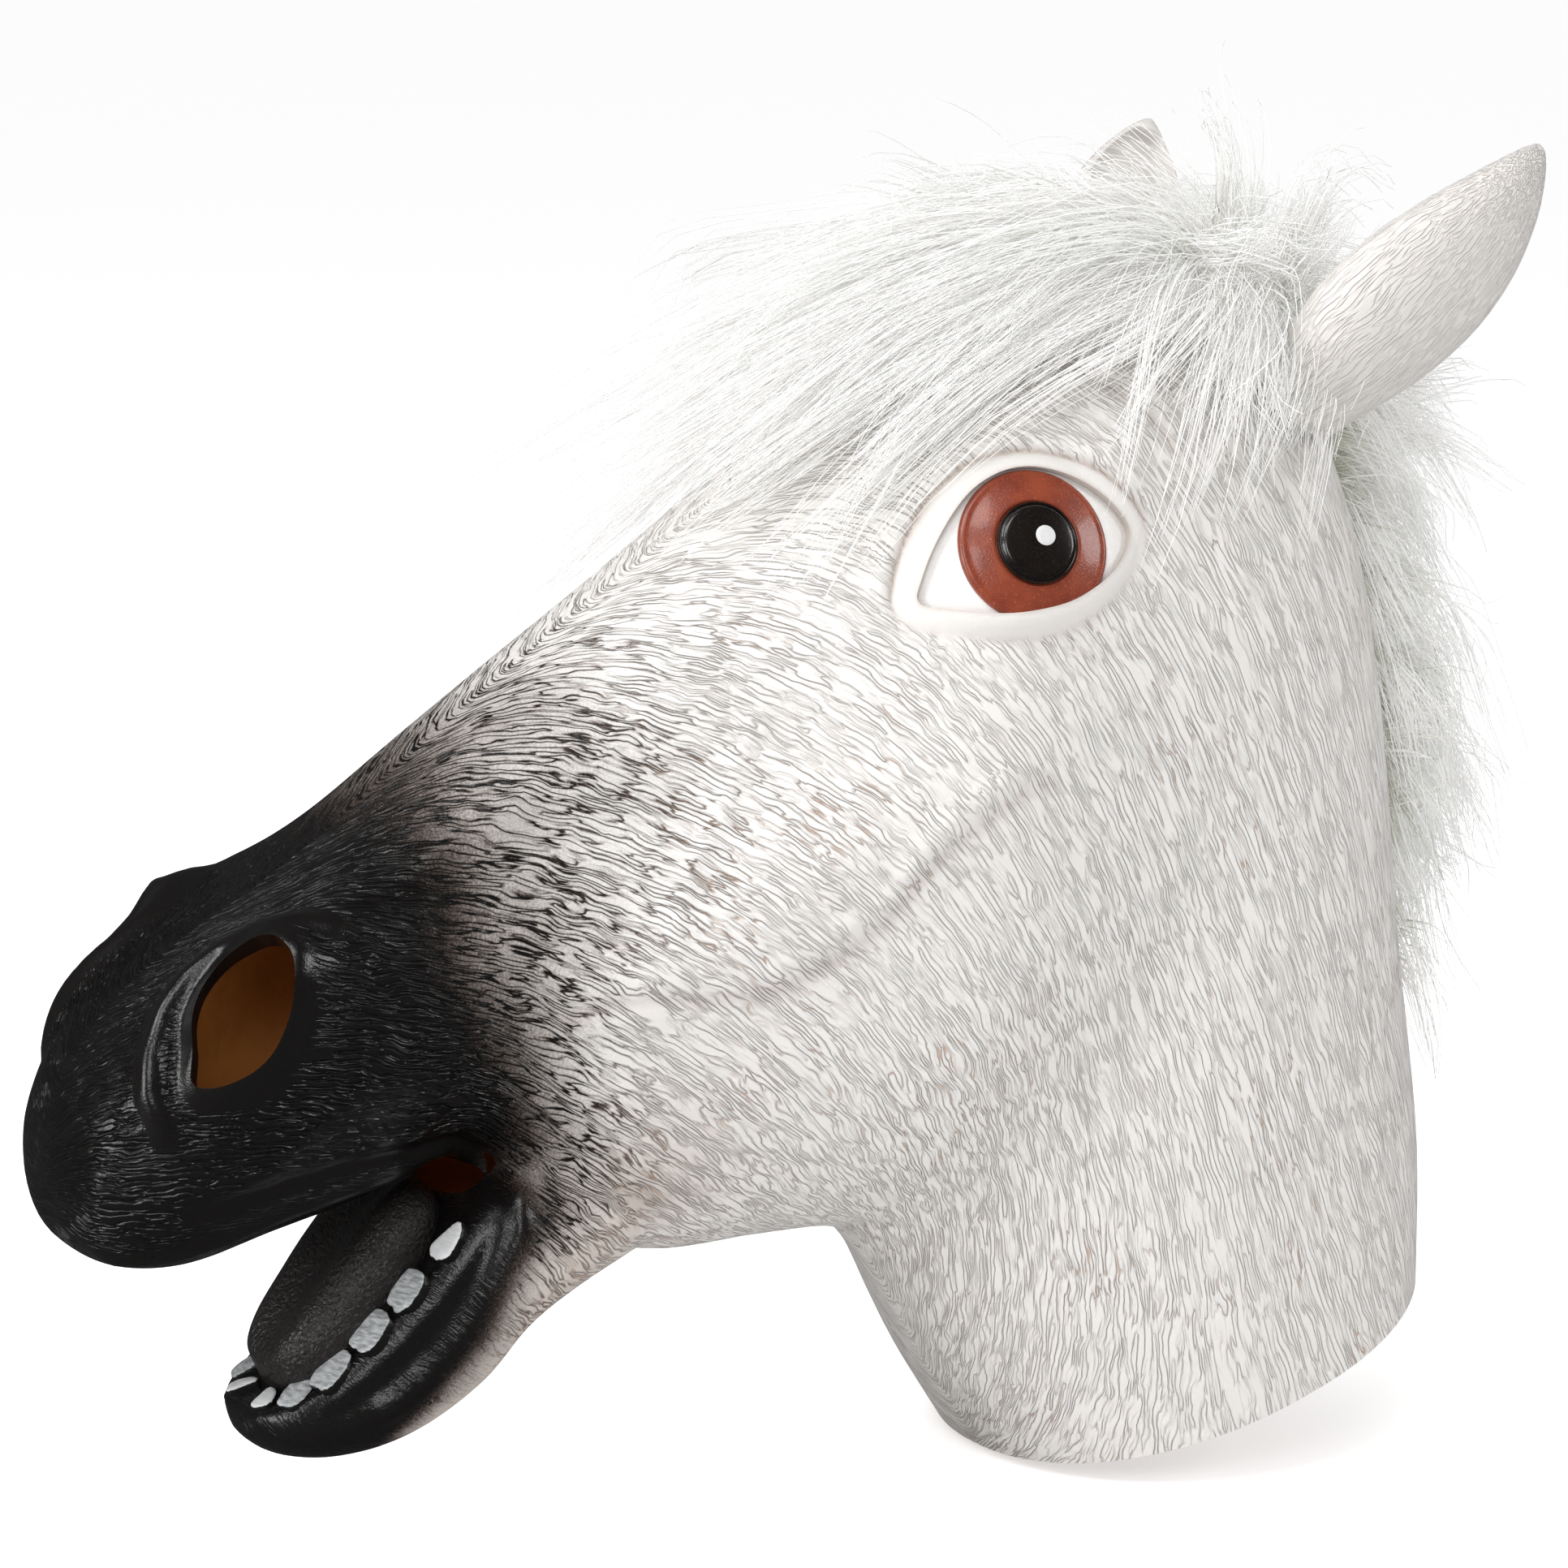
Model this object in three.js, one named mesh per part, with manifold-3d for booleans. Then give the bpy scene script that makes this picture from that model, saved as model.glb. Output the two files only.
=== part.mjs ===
// A full-head horse mask of cast latex rubber. The hollow head is open at the neck, at both
// nostrils and behind the tongue. Two cupped ears, two domed eyes with raised irises and pupils,
// a tongue and a row of lower teeth are set on it, and long pile fur is glued on as a forelock
// and a mane. Millimetres, +Z up, muzzle to -Y, the mask's own left side to +X. The origin is
// the inside of the crown, where the mask rests on the wearer's head.
import * as THREE from "three";
import { mergeVertices } from "three/addons/utils/BufferGeometryUtils.js";
import Module from "manifold-3d";

const wasm = await Module();
wasm.setup();

// Driving dimensions
const MASK_LENGTH = 505; // upper lip to nape
const MASK_DROP = 400; // crown to the front of the hem
const HEAD_WIDTH = 176; // across the cheeks
const WALL = 2; // latex skin
const PIECE_GAP = 0.3; // between pieces that touch
const HEM_CUT = 12; // how far the hollow runs past the hem
const MUZZLE_WALL = 0.014; // share of the head that the wall at its tip takes up
const JAW_HOLLOW = [0.03, 0.985]; // shares of the jaw that its hollow runs from and to

const MOUTH_HOLE_WIDTH = 64; // the hole behind the tongue
const MOUTH_HOLE_HEIGHT = 18;
const MOUTH_HOLE_DEPTH = 60;
const NOSTRIL_LENGTH = 52;
const NOSTRIL_WIDTH = 29;
const NOSTRIL_RIM = 3.4; // radius of the rolled edge
const NOSTRIL_CUT = 18; // how far the cut reaches in and out
const EYE_LENGTH = 67; // between the corners of the lids
const EYE_HEIGHT = 50; // between the lids
const EYE_RADIUS = 60; // of the ball's dome
const EYE_SEAT = 3; // dome that the lids cover
const EYE_PROUD = 6; // dome above the cheek
const EYE_TURN = 8; // degrees from the line of the head
const EYE_CUT = 16; // how far the opening between the lids reaches in and out
const LID_RADIUS = 4.2;
const IRIS_DIAMETER = 50;
const IRIS_HEIGHT = 2.4; // of its rim
const IRIS_FIELD = 0.8; // share of that height inside the rim
const PUPIL_DIAMETER = 27;
const PUPIL_HEIGHT = 2;
const EAR_LENGTH = 107;
const EAR_WIDTH = 60;
const EAR_DEPTH = 34;
const EAR_WALL = 3;
const TONGUE_WIDTH = 54;
const TONGUE_HEIGHT = 34;
const TONGUE_HOLLOW = 4; // depth of the groove along it
const TOOTH_LENGTH = 16; // along the gum
const TOOTH_WIDTH = 11;
const TOOTH_HEIGHT = 4; // above the gum
const FUR_BACKING = 2.5; // woven backing of the fur
const FORELOCK_HEIGHT = 50; // above the forehead
const MANE_HEIGHT = 42; // behind the nape
const LOCK_WIDTH = 40;

// How finely the faceted solids are cut
const HEAD_STEPS = 32;
const HEAD_SIDES = 22;
const JAW_STEPS = 12;
const JAW_SIDES = 14;
const RIM_TUBE_SIDES = 5;
const LOCK_SIDES = 4;
const RIM_SIDES = 16;
const ROUND_SIDES = 16;

// Sections of the head from the muzzle to the hem. Top and bottom are the ends of the section on
// the midline, y as a share of the mask's length and z of its drop. Width is a share of the head's
// width, belly is how high the section is widest, crest and keel are the squareness of its upper
// and lower half.
const HEAD_SECTIONS = [
  { topY: -0.758, topZ: -0.63, botY: -0.759, botZ: -0.695, width: 0.15, belly: 0.5, crest: 2, keel: 2 },
  { topY: -0.749, topZ: -0.588, botY: -0.751, botZ: -0.713, width: 0.36, belly: 0.5, crest: 2.1, keel: 2.2 },
  { topY: -0.72, topZ: -0.535, botY: -0.725, botZ: -0.735, width: 0.5, belly: 0.55, crest: 2.3, keel: 2.3 },
  { topY: -0.675, topZ: -0.49, botY: -0.683, botZ: -0.74, width: 0.61, belly: 0.6, crest: 2.5, keel: 2.3 },
  { topY: -0.616, topZ: -0.447, botY: -0.626, botZ: -0.724, width: 0.64, belly: 0.6, crest: 2.6, keel: 2.2 },
  { topY: -0.554, topZ: -0.395, botY: -0.56, botZ: -0.705, width: 0.62, belly: 0.55, crest: 2.6, keel: 2.2 },
  { topY: -0.495, topZ: -0.34, botY: -0.501, botZ: -0.68, width: 0.61, belly: 0.52, crest: 2.6, keel: 2.2 },
  { topY: -0.436, topZ: -0.287, botY: -0.436, botZ: -0.745, width: 0.68, belly: 0.5, crest: 2.5, keel: 2.2 },
  { topY: -0.356, topZ: -0.22, botY: -0.356, botZ: -0.78, width: 0.77, belly: 0.52, crest: 2.4, keel: 2.2 },
  { topY: -0.267, topZ: -0.145, botY: -0.281, botZ: -0.78, width: 0.88, belly: 0.56, crest: 2.3, keel: 2.2 },
  { topY: -0.168, topZ: -0.065, botY: -0.23, botZ: -0.78, width: 0.97, belly: 0.58, crest: 2.2, keel: 2.2 },
  { topY: -0.063, topZ: -0.01, botY: -0.208, botZ: -0.785, width: 1, belly: 0.58, crest: 2.1, keel: 2.2 },
  { topY: 0.03, topZ: 0.008, botY: -0.194, botZ: -0.793, width: 1, belly: 0.56, crest: 2.1, keel: 2.2 },
  { topY: 0.115, topZ: -0.04, botY: -0.184, botZ: -0.805, width: 1, belly: 0.55, crest: 2.1, keel: 2.2 },
  { topY: 0.17, topZ: -0.16, botY: -0.172, botZ: -0.825, width: 1, belly: 0.52, crest: 2.1, keel: 2.2 },
  { topY: 0.2, topZ: -0.33, botY: -0.16, botZ: -0.85, width: 1, belly: 0.5, crest: 2.1, keel: 2.2 },
  { topY: 0.218, topZ: -0.543, botY: -0.145, botZ: -0.885, width: 1, belly: 0.5, crest: 2.1, keel: 2.2 },
  { topY: 0.236, topZ: -0.725, botY: -0.123, botZ: -0.933, width: 1, belly: 0.5, crest: 2.1, keel: 2.2 },
  { topY: 0.234, topZ: -0.852, botY: -0.087, botZ: -1, width: 1, belly: 0.5, crest: 2.1, keel: 2.2 },
];

// Swellings and hollows of the head, mirrored on its right side. At is the place along the head
// and angle the place round it, long and round are how far each one reaches, and height is a share
// of the head's width.
const HEAD_RELIEF = [
  { at: 0.195, angle: 54, long: 0.055, round: 24, height: 0.075 }, // nostril
  { at: 0.577, angle: 62, long: 0.04, round: 26, height: 0.025 }, // eyelids
  { at: 0.47, angle: 92, long: 0.12, round: 8, height: 0.028 }, // facial crest
  { at: 0.4, angle: 68, long: 0.1, round: 14, height: -0.035 }, // hollow above the crest
  { at: 0.63, angle: 50, long: 0.05, round: 12, height: 0.03 }, // brow
  { at: 0.6, angle: 122, long: 0.1, round: 24, height: 0.045 }, // jowl
  { at: 0.77, angle: 118, long: 0.05, round: 30, height: -0.03 }, // groove behind the jowl
];

// The lower jaw, from its lip back to where it runs into the head. Its top is the mouth's floor.
const JAW_SECTIONS = [
  { topY: -0.634, topZ: -0.873, botY: -0.633, botZ: -0.893, width: 0.1, belly: 0.5, crest: 2, keel: 2 },
  { topY: -0.626, topZ: -0.865, botY: -0.616, botZ: -0.908, width: 0.26, belly: 0.55, crest: 2.4, keel: 2 },
  { topY: -0.606, topZ: -0.855, botY: -0.586, botZ: -0.915, width: 0.365, belly: 0.6, crest: 2.8, keel: 2 },
  { topY: -0.584, topZ: -0.835, botY: -0.547, botZ: -0.912, width: 0.42, belly: 0.65, crest: 3, keel: 2 },
  { topY: -0.56, topZ: -0.805, botY: -0.511, botZ: -0.898, width: 0.455, belly: 0.68, crest: 3, keel: 2 },
  { topY: -0.539, topZ: -0.773, botY: -0.473, botZ: -0.868, width: 0.49, belly: 0.68, crest: 3, keel: 2 },
  { topY: -0.517, topZ: -0.735, botY: -0.446, botZ: -0.828, width: 0.525, belly: 0.65, crest: 3, keel: 2.1 },
  { topY: -0.491, topZ: -0.693, botY: -0.412, botZ: -0.8, width: 0.555, belly: 0.6, crest: 2.6, keel: 2.1 },
  { topY: -0.45, topZ: -0.663, botY: -0.364, botZ: -0.77, width: 0.58, belly: 0.6, crest: 2.4, keel: 2.1 },
];

// The ridge of gum that the teeth stand on
const JAW_RELIEF = [{ at: 0.45, angle: 42, long: 0.42, round: 15, height: 0.028 }];

const HEAD = { sections: HEAD_SECTIONS, relief: HEAD_RELIEF };
const JAW = { sections: JAW_SECTIONS, relief: JAW_RELIEF };

// Places on a body: how far along it, and degrees from its top over the left side
const EYE_PLACE = { at: 0.577, angle: 62 };
const NOSTRIL_PLACE = { at: 0.165, angle: 52 };
const MOUTH_HOLE_PLACE = { y: -0.46, z: -0.695 }; // shares of the length and the drop

// Sections of an ear from its root to its tip, as shares of its length, width and depth. Lean is
// how far the section's centre stands toward the open side.
const EAR_SECTIONS = [
  { along: -0.12, width: 0.62, depth: 0.8, lean: 0 },
  { along: 0.08, width: 0.8, depth: 0.95, lean: 0 },
  { along: 0.25, width: 0.97, depth: 1, lean: 0.02 },
  { along: 0.45, width: 1, depth: 0.92, lean: 0.04 },
  { along: 0.65, width: 0.84, depth: 0.72, lean: 0.08 },
  { along: 0.83, width: 0.54, depth: 0.48, lean: 0.16 },
  { along: 0.95, width: 0.24, depth: 0.28, lean: 0.26 },
  { along: 1, width: 0.06, depth: 0.12, lean: 0.32 },
];

// Sections of the tongue from its tip back, on the floor of the jaw
const TONGUE_SECTIONS = [
  { at: 0.22, width: 0.22, height: 0.3 },
  { at: 0.26, width: 0.58, height: 0.6 },
  { at: 0.35, width: 0.8, height: 0.82 },
  { at: 0.46, width: 0.92, height: 0.95 },
  { at: 0.6, width: 0.98, height: 1 },
  { at: 0.72, width: 0.92, height: 0.92 },
  { at: 0.8, width: 0.7, height: 0.65 },
  { at: 0.83, width: 0.3, height: 0.3 },
];

// Teeth of the left half of the gum, from the front
const TOOTH_PLACES = [
  { at: 0.14, angle: 24, turn: 80 },
  { at: 0.22, angle: 36, turn: 50 },
  { at: 0.36, angle: 42, turn: 22 },
  { at: 0.49, angle: 45, turn: 10 },
  { at: 0.61, angle: 46, turn: 4 },
  { at: 0.73, angle: 46, turn: 0 },
];

// Locks of the forelock and the mane. From and to are places on the head, lift is how high the
// lock arches and tip how high it ends, as shares of the fur's height, and width is a share.
const FORELOCK_LOCKS = [
  { from: 0.69, fromAngle: 0, to: 0.47, toAngle: 6, lift: 0.8, tip: 0.8, width: 1 },
  { from: 0.69, fromAngle: 8, to: 0.48, toAngle: 26, lift: 0.8, tip: 0.5, width: 1 },
  { from: 0.69, fromAngle: -8, to: 0.48, toAngle: -26, lift: 0.8, tip: 0.5, width: 1 },
  { from: 0.68, fromAngle: 4, to: 0.45, toAngle: 2, lift: 0.4, tip: 0.15, width: 1.1 },
  { from: 0.7, fromAngle: 16, to: 0.51, toAngle: 42, lift: 0.6, tip: 0.1, width: 1.1 },
  { from: 0.7, fromAngle: -16, to: 0.51, toAngle: -42, lift: 0.6, tip: 0.1, width: 1.1 },
  { from: 0.71, fromAngle: 22, to: 0.57, toAngle: 46, lift: 0.7, tip: 0.2, width: 1 },
  { from: 0.71, fromAngle: -22, to: 0.57, toAngle: -46, lift: 0.7, tip: 0.2, width: 1 },
  { from: 0.7, fromAngle: 5, to: 0.55, toAngle: 10, lift: 0.9, tip: 1.05, width: 0.9 },
  { from: 0.7, fromAngle: -5, to: 0.58, toAngle: -14, lift: 0.9, tip: 1, width: 0.9 },
  { from: 0.73, fromAngle: 0, to: 0.69, toAngle: 0, lift: 1.1, tip: 1.3, width: 0.9 },
  { from: 0.74, fromAngle: 12, to: 0.73, toAngle: 44, lift: 0.6, tip: 0.2, width: 0.9 },
  { from: 0.74, fromAngle: -12, to: 0.73, toAngle: -44, lift: 0.6, tip: 0.2, width: 0.9 },
];
const MANE_LOCKS = [
  { from: 0.755, fromAngle: 0, to: 0.8, toAngle: 6, lift: 1, tip: 1.1, width: 0.9 },
  { from: 0.775, fromAngle: 5, to: 0.84, toAngle: 18, lift: 0.9, tip: 0.9, width: 1 },
  { from: 0.775, fromAngle: -5, to: 0.84, toAngle: -18, lift: 0.9, tip: 0.9, width: 1 },
  { from: 0.8, fromAngle: 0, to: 0.86, toAngle: -6, lift: 1, tip: 1.1, width: 1 },
  { from: 0.82, fromAngle: 5, to: 0.885, toAngle: 18, lift: 0.9, tip: 0.8, width: 1 },
  { from: 0.82, fromAngle: -5, to: 0.885, toAngle: -18, lift: 0.9, tip: 0.8, width: 1 },
  { from: 0.84, fromAngle: 0, to: 0.91, toAngle: 6, lift: 1, tip: 1.1, width: 1 },
  { from: 0.86, fromAngle: 5, to: 0.925, toAngle: 16, lift: 0.9, tip: 0.8, width: 0.9 },
  { from: 0.86, fromAngle: -5, to: 0.925, toAngle: -16, lift: 0.9, tip: 0.8, width: 0.9 },
];
const FORELOCK_PATCH = { from: 0.665, to: 0.75, angle: 24 };
const MANE_PATCH = { from: 0.755, to: 0.885, angle: 9 };

const range = (from, to, steps) => Array.from({ length: steps + 1 }, (_, i) => from + ((to - from) * i) / steps);
const round = (sides) => range(0, 360, sides).slice(0, -1);
const blend = (a, b, f) => a + (b - a) * f;

// A value of a table's column, smoothly between its rows. At runs from 0 to 1 over the table.
function sample(table, column, at) {
  const last = table.length - 1;
  const row = THREE.MathUtils.clamp(at, 0, 1) * last;
  const i = Math.min(Math.floor(row), last - 1);
  const f = row - i;
  const value = (k) => table[THREE.MathUtils.clamp(k, 0, last)][column];
  const [a, b, c, d] = [value(i - 1), value(i), value(i + 1), value(i + 2)];
  return b + 0.5 * f * (c - a + f * (2 * a - 5 * b + 4 * c - d + f * (3 * (b - c) + d - a)));
}

// A point of a section's outline, before the swellings
function outline(body, at, angle) {
  const value = (column) => sample(body.sections, column, at);
  const top = new THREE.Vector3(0, value("topY") * MASK_LENGTH, value("topZ") * MASK_DROP);
  const bottom = new THREE.Vector3(0, value("botY") * MASK_LENGTH, value("botZ") * MASK_DROP);
  const a = THREE.MathUtils.degToRad(angle);
  const upper = Math.cos(a) >= 0;
  const power = 2 / value(upper ? "crest" : "keel");
  const out = Math.sign(Math.sin(a)) * Math.abs(Math.sin(a)) ** power;
  const rise = Math.sign(Math.cos(a)) * Math.abs(Math.cos(a)) ** power;
  const belly = value("belly");
  const point = bottom.clone().addScaledVector(top.sub(bottom), belly + rise * (upper ? 1 - belly : belly));
  point.x = (out * value("width") * HEAD_WIDTH) / 2;
  return point;
}

const AT_STEP = 0.004;
const ANGLE_STEP = 2;

// How a body's skin runs at a place: along it and round it per unit, and its outward normal
function tangents(body, at, angle) {
  const [back, front] = [Math.max(at - AT_STEP, 0), Math.min(at + AT_STEP, 1)];
  const along = outline(body, front, angle).sub(outline(body, back, angle)).divideScalar(front - back);
  const around = outline(body, at, angle + ANGLE_STEP).sub(outline(body, at, angle - ANGLE_STEP));
  around.divideScalar(2 * ANGLE_STEP);
  return { along, around, normal: around.clone().cross(along).normalize() };
}

// Height of the swellings at a place
function relief(body, at, angle) {
  const side = Math.abs(THREE.MathUtils.euclideanModulo(angle + 180, 360) - 180);
  const height = (bump) => {
    const near = ((at - bump.at) / bump.long) ** 2 + ((side - bump.angle) / bump.round) ** 2;
    return bump.height * HEAD_WIDTH * Math.exp(-near);
  };
  return body.relief.reduce((sum, bump) => sum + height(bump), 0);
}

// A point of a body's skin, or one that stands out from it
function skin(body, at, angle, out = 0) {
  const { normal } = tangents(body, at, angle);
  return outline(body, at, angle).addScaledVector(normal, out + relief(body, at, angle));
}

// A point near a place on a body, by its distance along and round the skin
function skinNear(body, place, along, around, out) {
  const run = tangents(body, place.at, place.angle);
  return skin(body, place.at + along / run.along.length(), place.angle + around / run.around.length(), out);
}

// Closed skin over a row of rings of as many points. A closed row joins its last ring to its first.
function loft(rings, closed = false) {
  const count = rings[0].length;
  const rows = closed ? rings.length : rings.length - 1;
  const index = [];
  for (let r = 0; r < rows; r++) {
    const next = (r + 1) % rings.length;
    for (let k = 0; k < count; k++) {
      const [a, b] = [r * count + k, r * count + ((k + 1) % count)];
      const [c, d] = [next * count + ((k + 1) % count), next * count + k];
      index.push(a, b, c, a, c, d);
    }
  }
  const cap = (first, flip) => {
    for (let k = 0; k < Math.floor(count / 2) - 1; k++) {
      const [a, b, c, d] = [first + k, first + k + 1, first + count - 2 - k, first + count - 1 - k];
      index.push(...(flip ? [a, c, b, a, d, c] : [a, b, c, a, c, d]));
    }
    if (count % 2) {
      const k = Math.floor(count / 2);
      index.push(...(flip ? [first + k - 1, first + k + 1, first + k] : [first + k - 1, first + k, first + k + 1]));
    }
  };
  if (!closed) {
    cap(0, true);
    cap((rings.length - 1) * count, false);
  }
  const geometry = new THREE.BufferGeometry();
  const positions = rings.flat().flatMap((p) => [p.x, p.y, p.z]);
  geometry.setAttribute("position", new THREE.Float32BufferAttribute(positions, 3));
  geometry.setIndex(index);
  return geometry;
}

// Geometry to a solid that can be cut and joined, and back
function solid(geometry) {
  const bare = geometry.clone();
  for (const name of ["normal", "uv"]) bare.deleteAttribute(name);
  const merged = mergeVertices(bare, 1e-4);
  const mesh = new wasm.Mesh({
    numProp: 3,
    vertProperties: merged.attributes.position.array,
    triVerts: new Uint32Array(merged.index.array),
  });
  return new wasm.Manifold(mesh);
}

function toGeometry(made) {
  const mesh = made.getMesh();
  const geometry = new THREE.BufferGeometry();
  geometry.setAttribute("position", new THREE.Float32BufferAttribute(mesh.vertProperties, 3));
  geometry.setIndex(Array.from(mesh.triVerts));
  return geometry;
}

const union = (solids) => wasm.Manifold.union(solids);
const mirrored = (made) => made.mirror([1, 0, 0]);
const bothSides = (made) => made.add(mirrored(made));

// A tube round a row of points. Radius is a number or a function of the share along the row.
function tube(points, sides, radius, closed = false) {
  const count = points.length;
  const at = (i) => points[closed ? (i + count) % count : THREE.MathUtils.clamp(i, 0, count - 1)];
  const centre = points.reduce((sum, p) => sum.add(p), new THREE.Vector3()).divideScalar(count);
  const rings = points.map((point, i) => {
    const along = at(i + 1).clone().sub(at(i - 1)).normalize();
    const side = closed ? point.clone().sub(centre) : new THREE.Vector3(1, 0, 0);
    side.addScaledVector(along, -side.dot(along)).normalize();
    const over = along.clone().cross(side);
    const size = typeof radius === "function" ? radius(i / (count - 1)) : radius;
    return round(sides).map((degrees) => {
      const a = THREE.MathUtils.degToRad(degrees);
      return point.clone().addScaledVector(side, size * Math.cos(a)).addScaledVector(over, size * Math.sin(a));
    });
  });
  return solid(loft(rings, closed));
}

// A solid turned from a profile of [radius, height] pairs, about +Z
function turned(profile) {
  const points = profile.map(([r, h]) => new THREE.Vector2(Math.max(r, 0), h));
  return new THREE.LatheGeometry(points, ROUND_SIDES).rotateX(Math.PI / 2);
}

// The skin of a body at a distance out from its surface
function bodySolid(body, steps, sides, out, [from, to] = [0, 1]) {
  const ring = (at) => round(sides).map((angle) => skin(body, at, angle, out));
  return solid(loft(range(from, to, steps).map(ring)));
}

// The hollow of the head, which runs out through the hem
function headHollow() {
  const ring = (at) => round(HEAD_SIDES).map((angle) => skin(HEAD, at, angle, -WALL));
  const rings = [MUZZLE_WALL, ...range(0, 1, HEAD_STEPS).slice(1)].map(ring);
  const [before, hem] = rings.slice(-2);
  rings.push(hem.map((p, k) => p.clone().add(p.clone().sub(before[k]).setLength(HEM_CUT))));
  return solid(loft(rings));
}

// An outline on the skin, by distance along and round it, cut as a plug through the wall
function skinPlug(body, place, points, depth) {
  const ring = (out) => points.map(([along, around]) => skinNear(body, place, along, around, out));
  return solid(loft([depth, -depth].map(ring)));
}

function skinRim(body, place, points, radius, out) {
  return tube(points.map(([along, around]) => skinNear(body, place, along, around, out)), RIM_TUBE_SIDES, radius, true);
}

// An almond outline with its long axis turned from the line of the head
function almond(length, height, steps) {
  const turn = THREE.MathUtils.degToRad(EYE_TURN);
  return round(steps).map((degrees) => {
    const a = THREE.MathUtils.degToRad(degrees);
    const [u, v] = [(length / 2) * Math.cos(a), (height / 2) * Math.sin(a) * Math.abs(Math.sin(a)) ** 0.3];
    return [u * Math.cos(turn) - v * Math.sin(turn), u * Math.sin(turn) + v * Math.cos(turn)];
  });
}

// A drop outline, wide at the back and narrow at the front
function drop(length, width, steps) {
  return round(steps).map((degrees) => {
    const a = THREE.MathUtils.degToRad(degrees);
    return [(length / 2) * Math.cos(a), (width / 2) * Math.sin(a) * (1 + 0.45 * Math.cos(a))];
  });
}

// Where a piece sits on a body: axes along, across and out of the skin, as a matrix
function seat(body, place, turn = 0) {
  const run = tangents(body, place.at, place.angle);
  const out = run.normal;
  const along = run.along.clone().addScaledVector(out, -run.along.dot(out)).normalize();
  const across = out.clone().cross(along);
  const basis = new THREE.Matrix4().makeBasis(along, across, out);
  basis.multiply(new THREE.Matrix4().makeRotationZ(THREE.MathUtils.degToRad(turn)));
  return basis.setPosition(skin(body, place.at, place.angle));
}

const domeHeight = (r) => EYE_PROUD - EYE_RADIUS + Math.sqrt(EYE_RADIUS ** 2 - r ** 2);
const dome = (radius, lift, steps) => range(radius, 0, steps).map((r) => [r, domeHeight(r) + lift]);

const lidOutline = (grow) => almond(EYE_LENGTH + 2 * grow, EYE_HEIGHT + 2 * grow, RIM_SIDES);
const lidOpening = (grow) => skinPlug(HEAD, EYE_PLACE, lidOutline(grow), EYE_CUT);
const onEye = (profile) => solid(turned(profile).applyMatrix4(seat(HEAD, EYE_PLACE)));

// The eyeball's dome, as far as it runs under the lids, or the socket that it needs
function eyeDome(gap) {
  const radius = EYE_LENGTH / 2 + EYE_SEAT + 1;
  const base = domeHeight(radius) - 1 - gap;
  return onEye([[0, base], [radius, base], ...dome(radius, gap, 4)]).intersect(lidOpening(EYE_SEAT + gap));
}

// A disc on the dome with a raised rim, as far as the lids leave it bare
function irisDisc() {
  const radius = IRIS_DIAMETER / 2;
  const under = dome(radius, PIECE_GAP, 3).reverse();
  const top = PIECE_GAP + IRIS_HEIGHT;
  const rim = [[radius, domeHeight(radius) + PIECE_GAP + IRIS_HEIGHT / 2], [radius - 1, domeHeight(radius) + top]];
  const disc = onEye([...under, ...rim, ...dome(radius - 3, PIECE_GAP + IRIS_HEIGHT * IRIS_FIELD, 2)]);
  return disc.intersect(lidOpening(-PIECE_GAP));
}

function pupilDisc() {
  const radius = PUPIL_DIAMETER / 2;
  const base = IRIS_HEIGHT * IRIS_FIELD + 2 * PIECE_GAP;
  const under = dome(radius, base, 2).reverse();
  const rim = [[radius, domeHeight(radius) + base + PUPIL_HEIGHT / 2]];
  return onEye([...under, ...rim, ...dome(radius - 1.2, base + PUPIL_HEIGHT, 2)]);
}

// The mask's skin, with its lids, nostrils and the hole behind the tongue
function latexHead() {
  const lids = skinRim(HEAD, EYE_PLACE, lidOutline(LID_RADIUS / 2), LID_RADIUS, 1);
  const nostrilEdge = drop(NOSTRIL_LENGTH + NOSTRIL_RIM, NOSTRIL_WIDTH + NOSTRIL_RIM, RIM_SIDES);
  const nostrilRim = skinRim(HEAD, NOSTRIL_PLACE, nostrilEdge, NOSTRIL_RIM, 0);
  const outer = union([
    bodySolid(HEAD, HEAD_STEPS, HEAD_SIDES, 0),
    bodySolid(JAW, JAW_STEPS, JAW_SIDES, 0),
    bothSides(lids),
    bothSides(nostrilRim),
  ]);
  const hollow = headHollow().add(bodySolid(JAW, JAW_STEPS, JAW_SIDES, -WALL, JAW_HOLLOW));
  const cuts = [
    bothSides(eyeDome(PIECE_GAP)),
    bothSides(lidOpening(0)),
    bothSides(skinPlug(HEAD, NOSTRIL_PLACE, drop(NOSTRIL_LENGTH, NOSTRIL_WIDTH, RIM_SIDES), NOSTRIL_CUT)),
    mouthHole(),
  ];
  return outer.subtract(hollow).subtract(union(cuts));
}

function mouthHole() {
  const hole = new THREE.CylinderGeometry(0.5, 0.5, MOUTH_HOLE_DEPTH, ROUND_SIDES);
  hole.scale(MOUTH_HOLE_WIDTH, 1, MOUTH_HOLE_HEIGHT);
  hole.translate(0, MOUTH_HOLE_PLACE.y * MASK_LENGTH, MOUTH_HOLE_PLACE.z * MASK_DROP);
  return solid(hole);
}

// The left ear's own axes: across it, out of its open side, and from root to tip
const EAR_ROOT = { x: 0.352, y: 0.099, z: -0.075 }; // shares of the width, the length and the drop
const EAR_AXIS = new THREE.Vector3(0.6, 0.43, 0.67).normalize();
const EAR_OPENS = new THREE.Vector3(-0.9, -0.1, 0.2);

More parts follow.
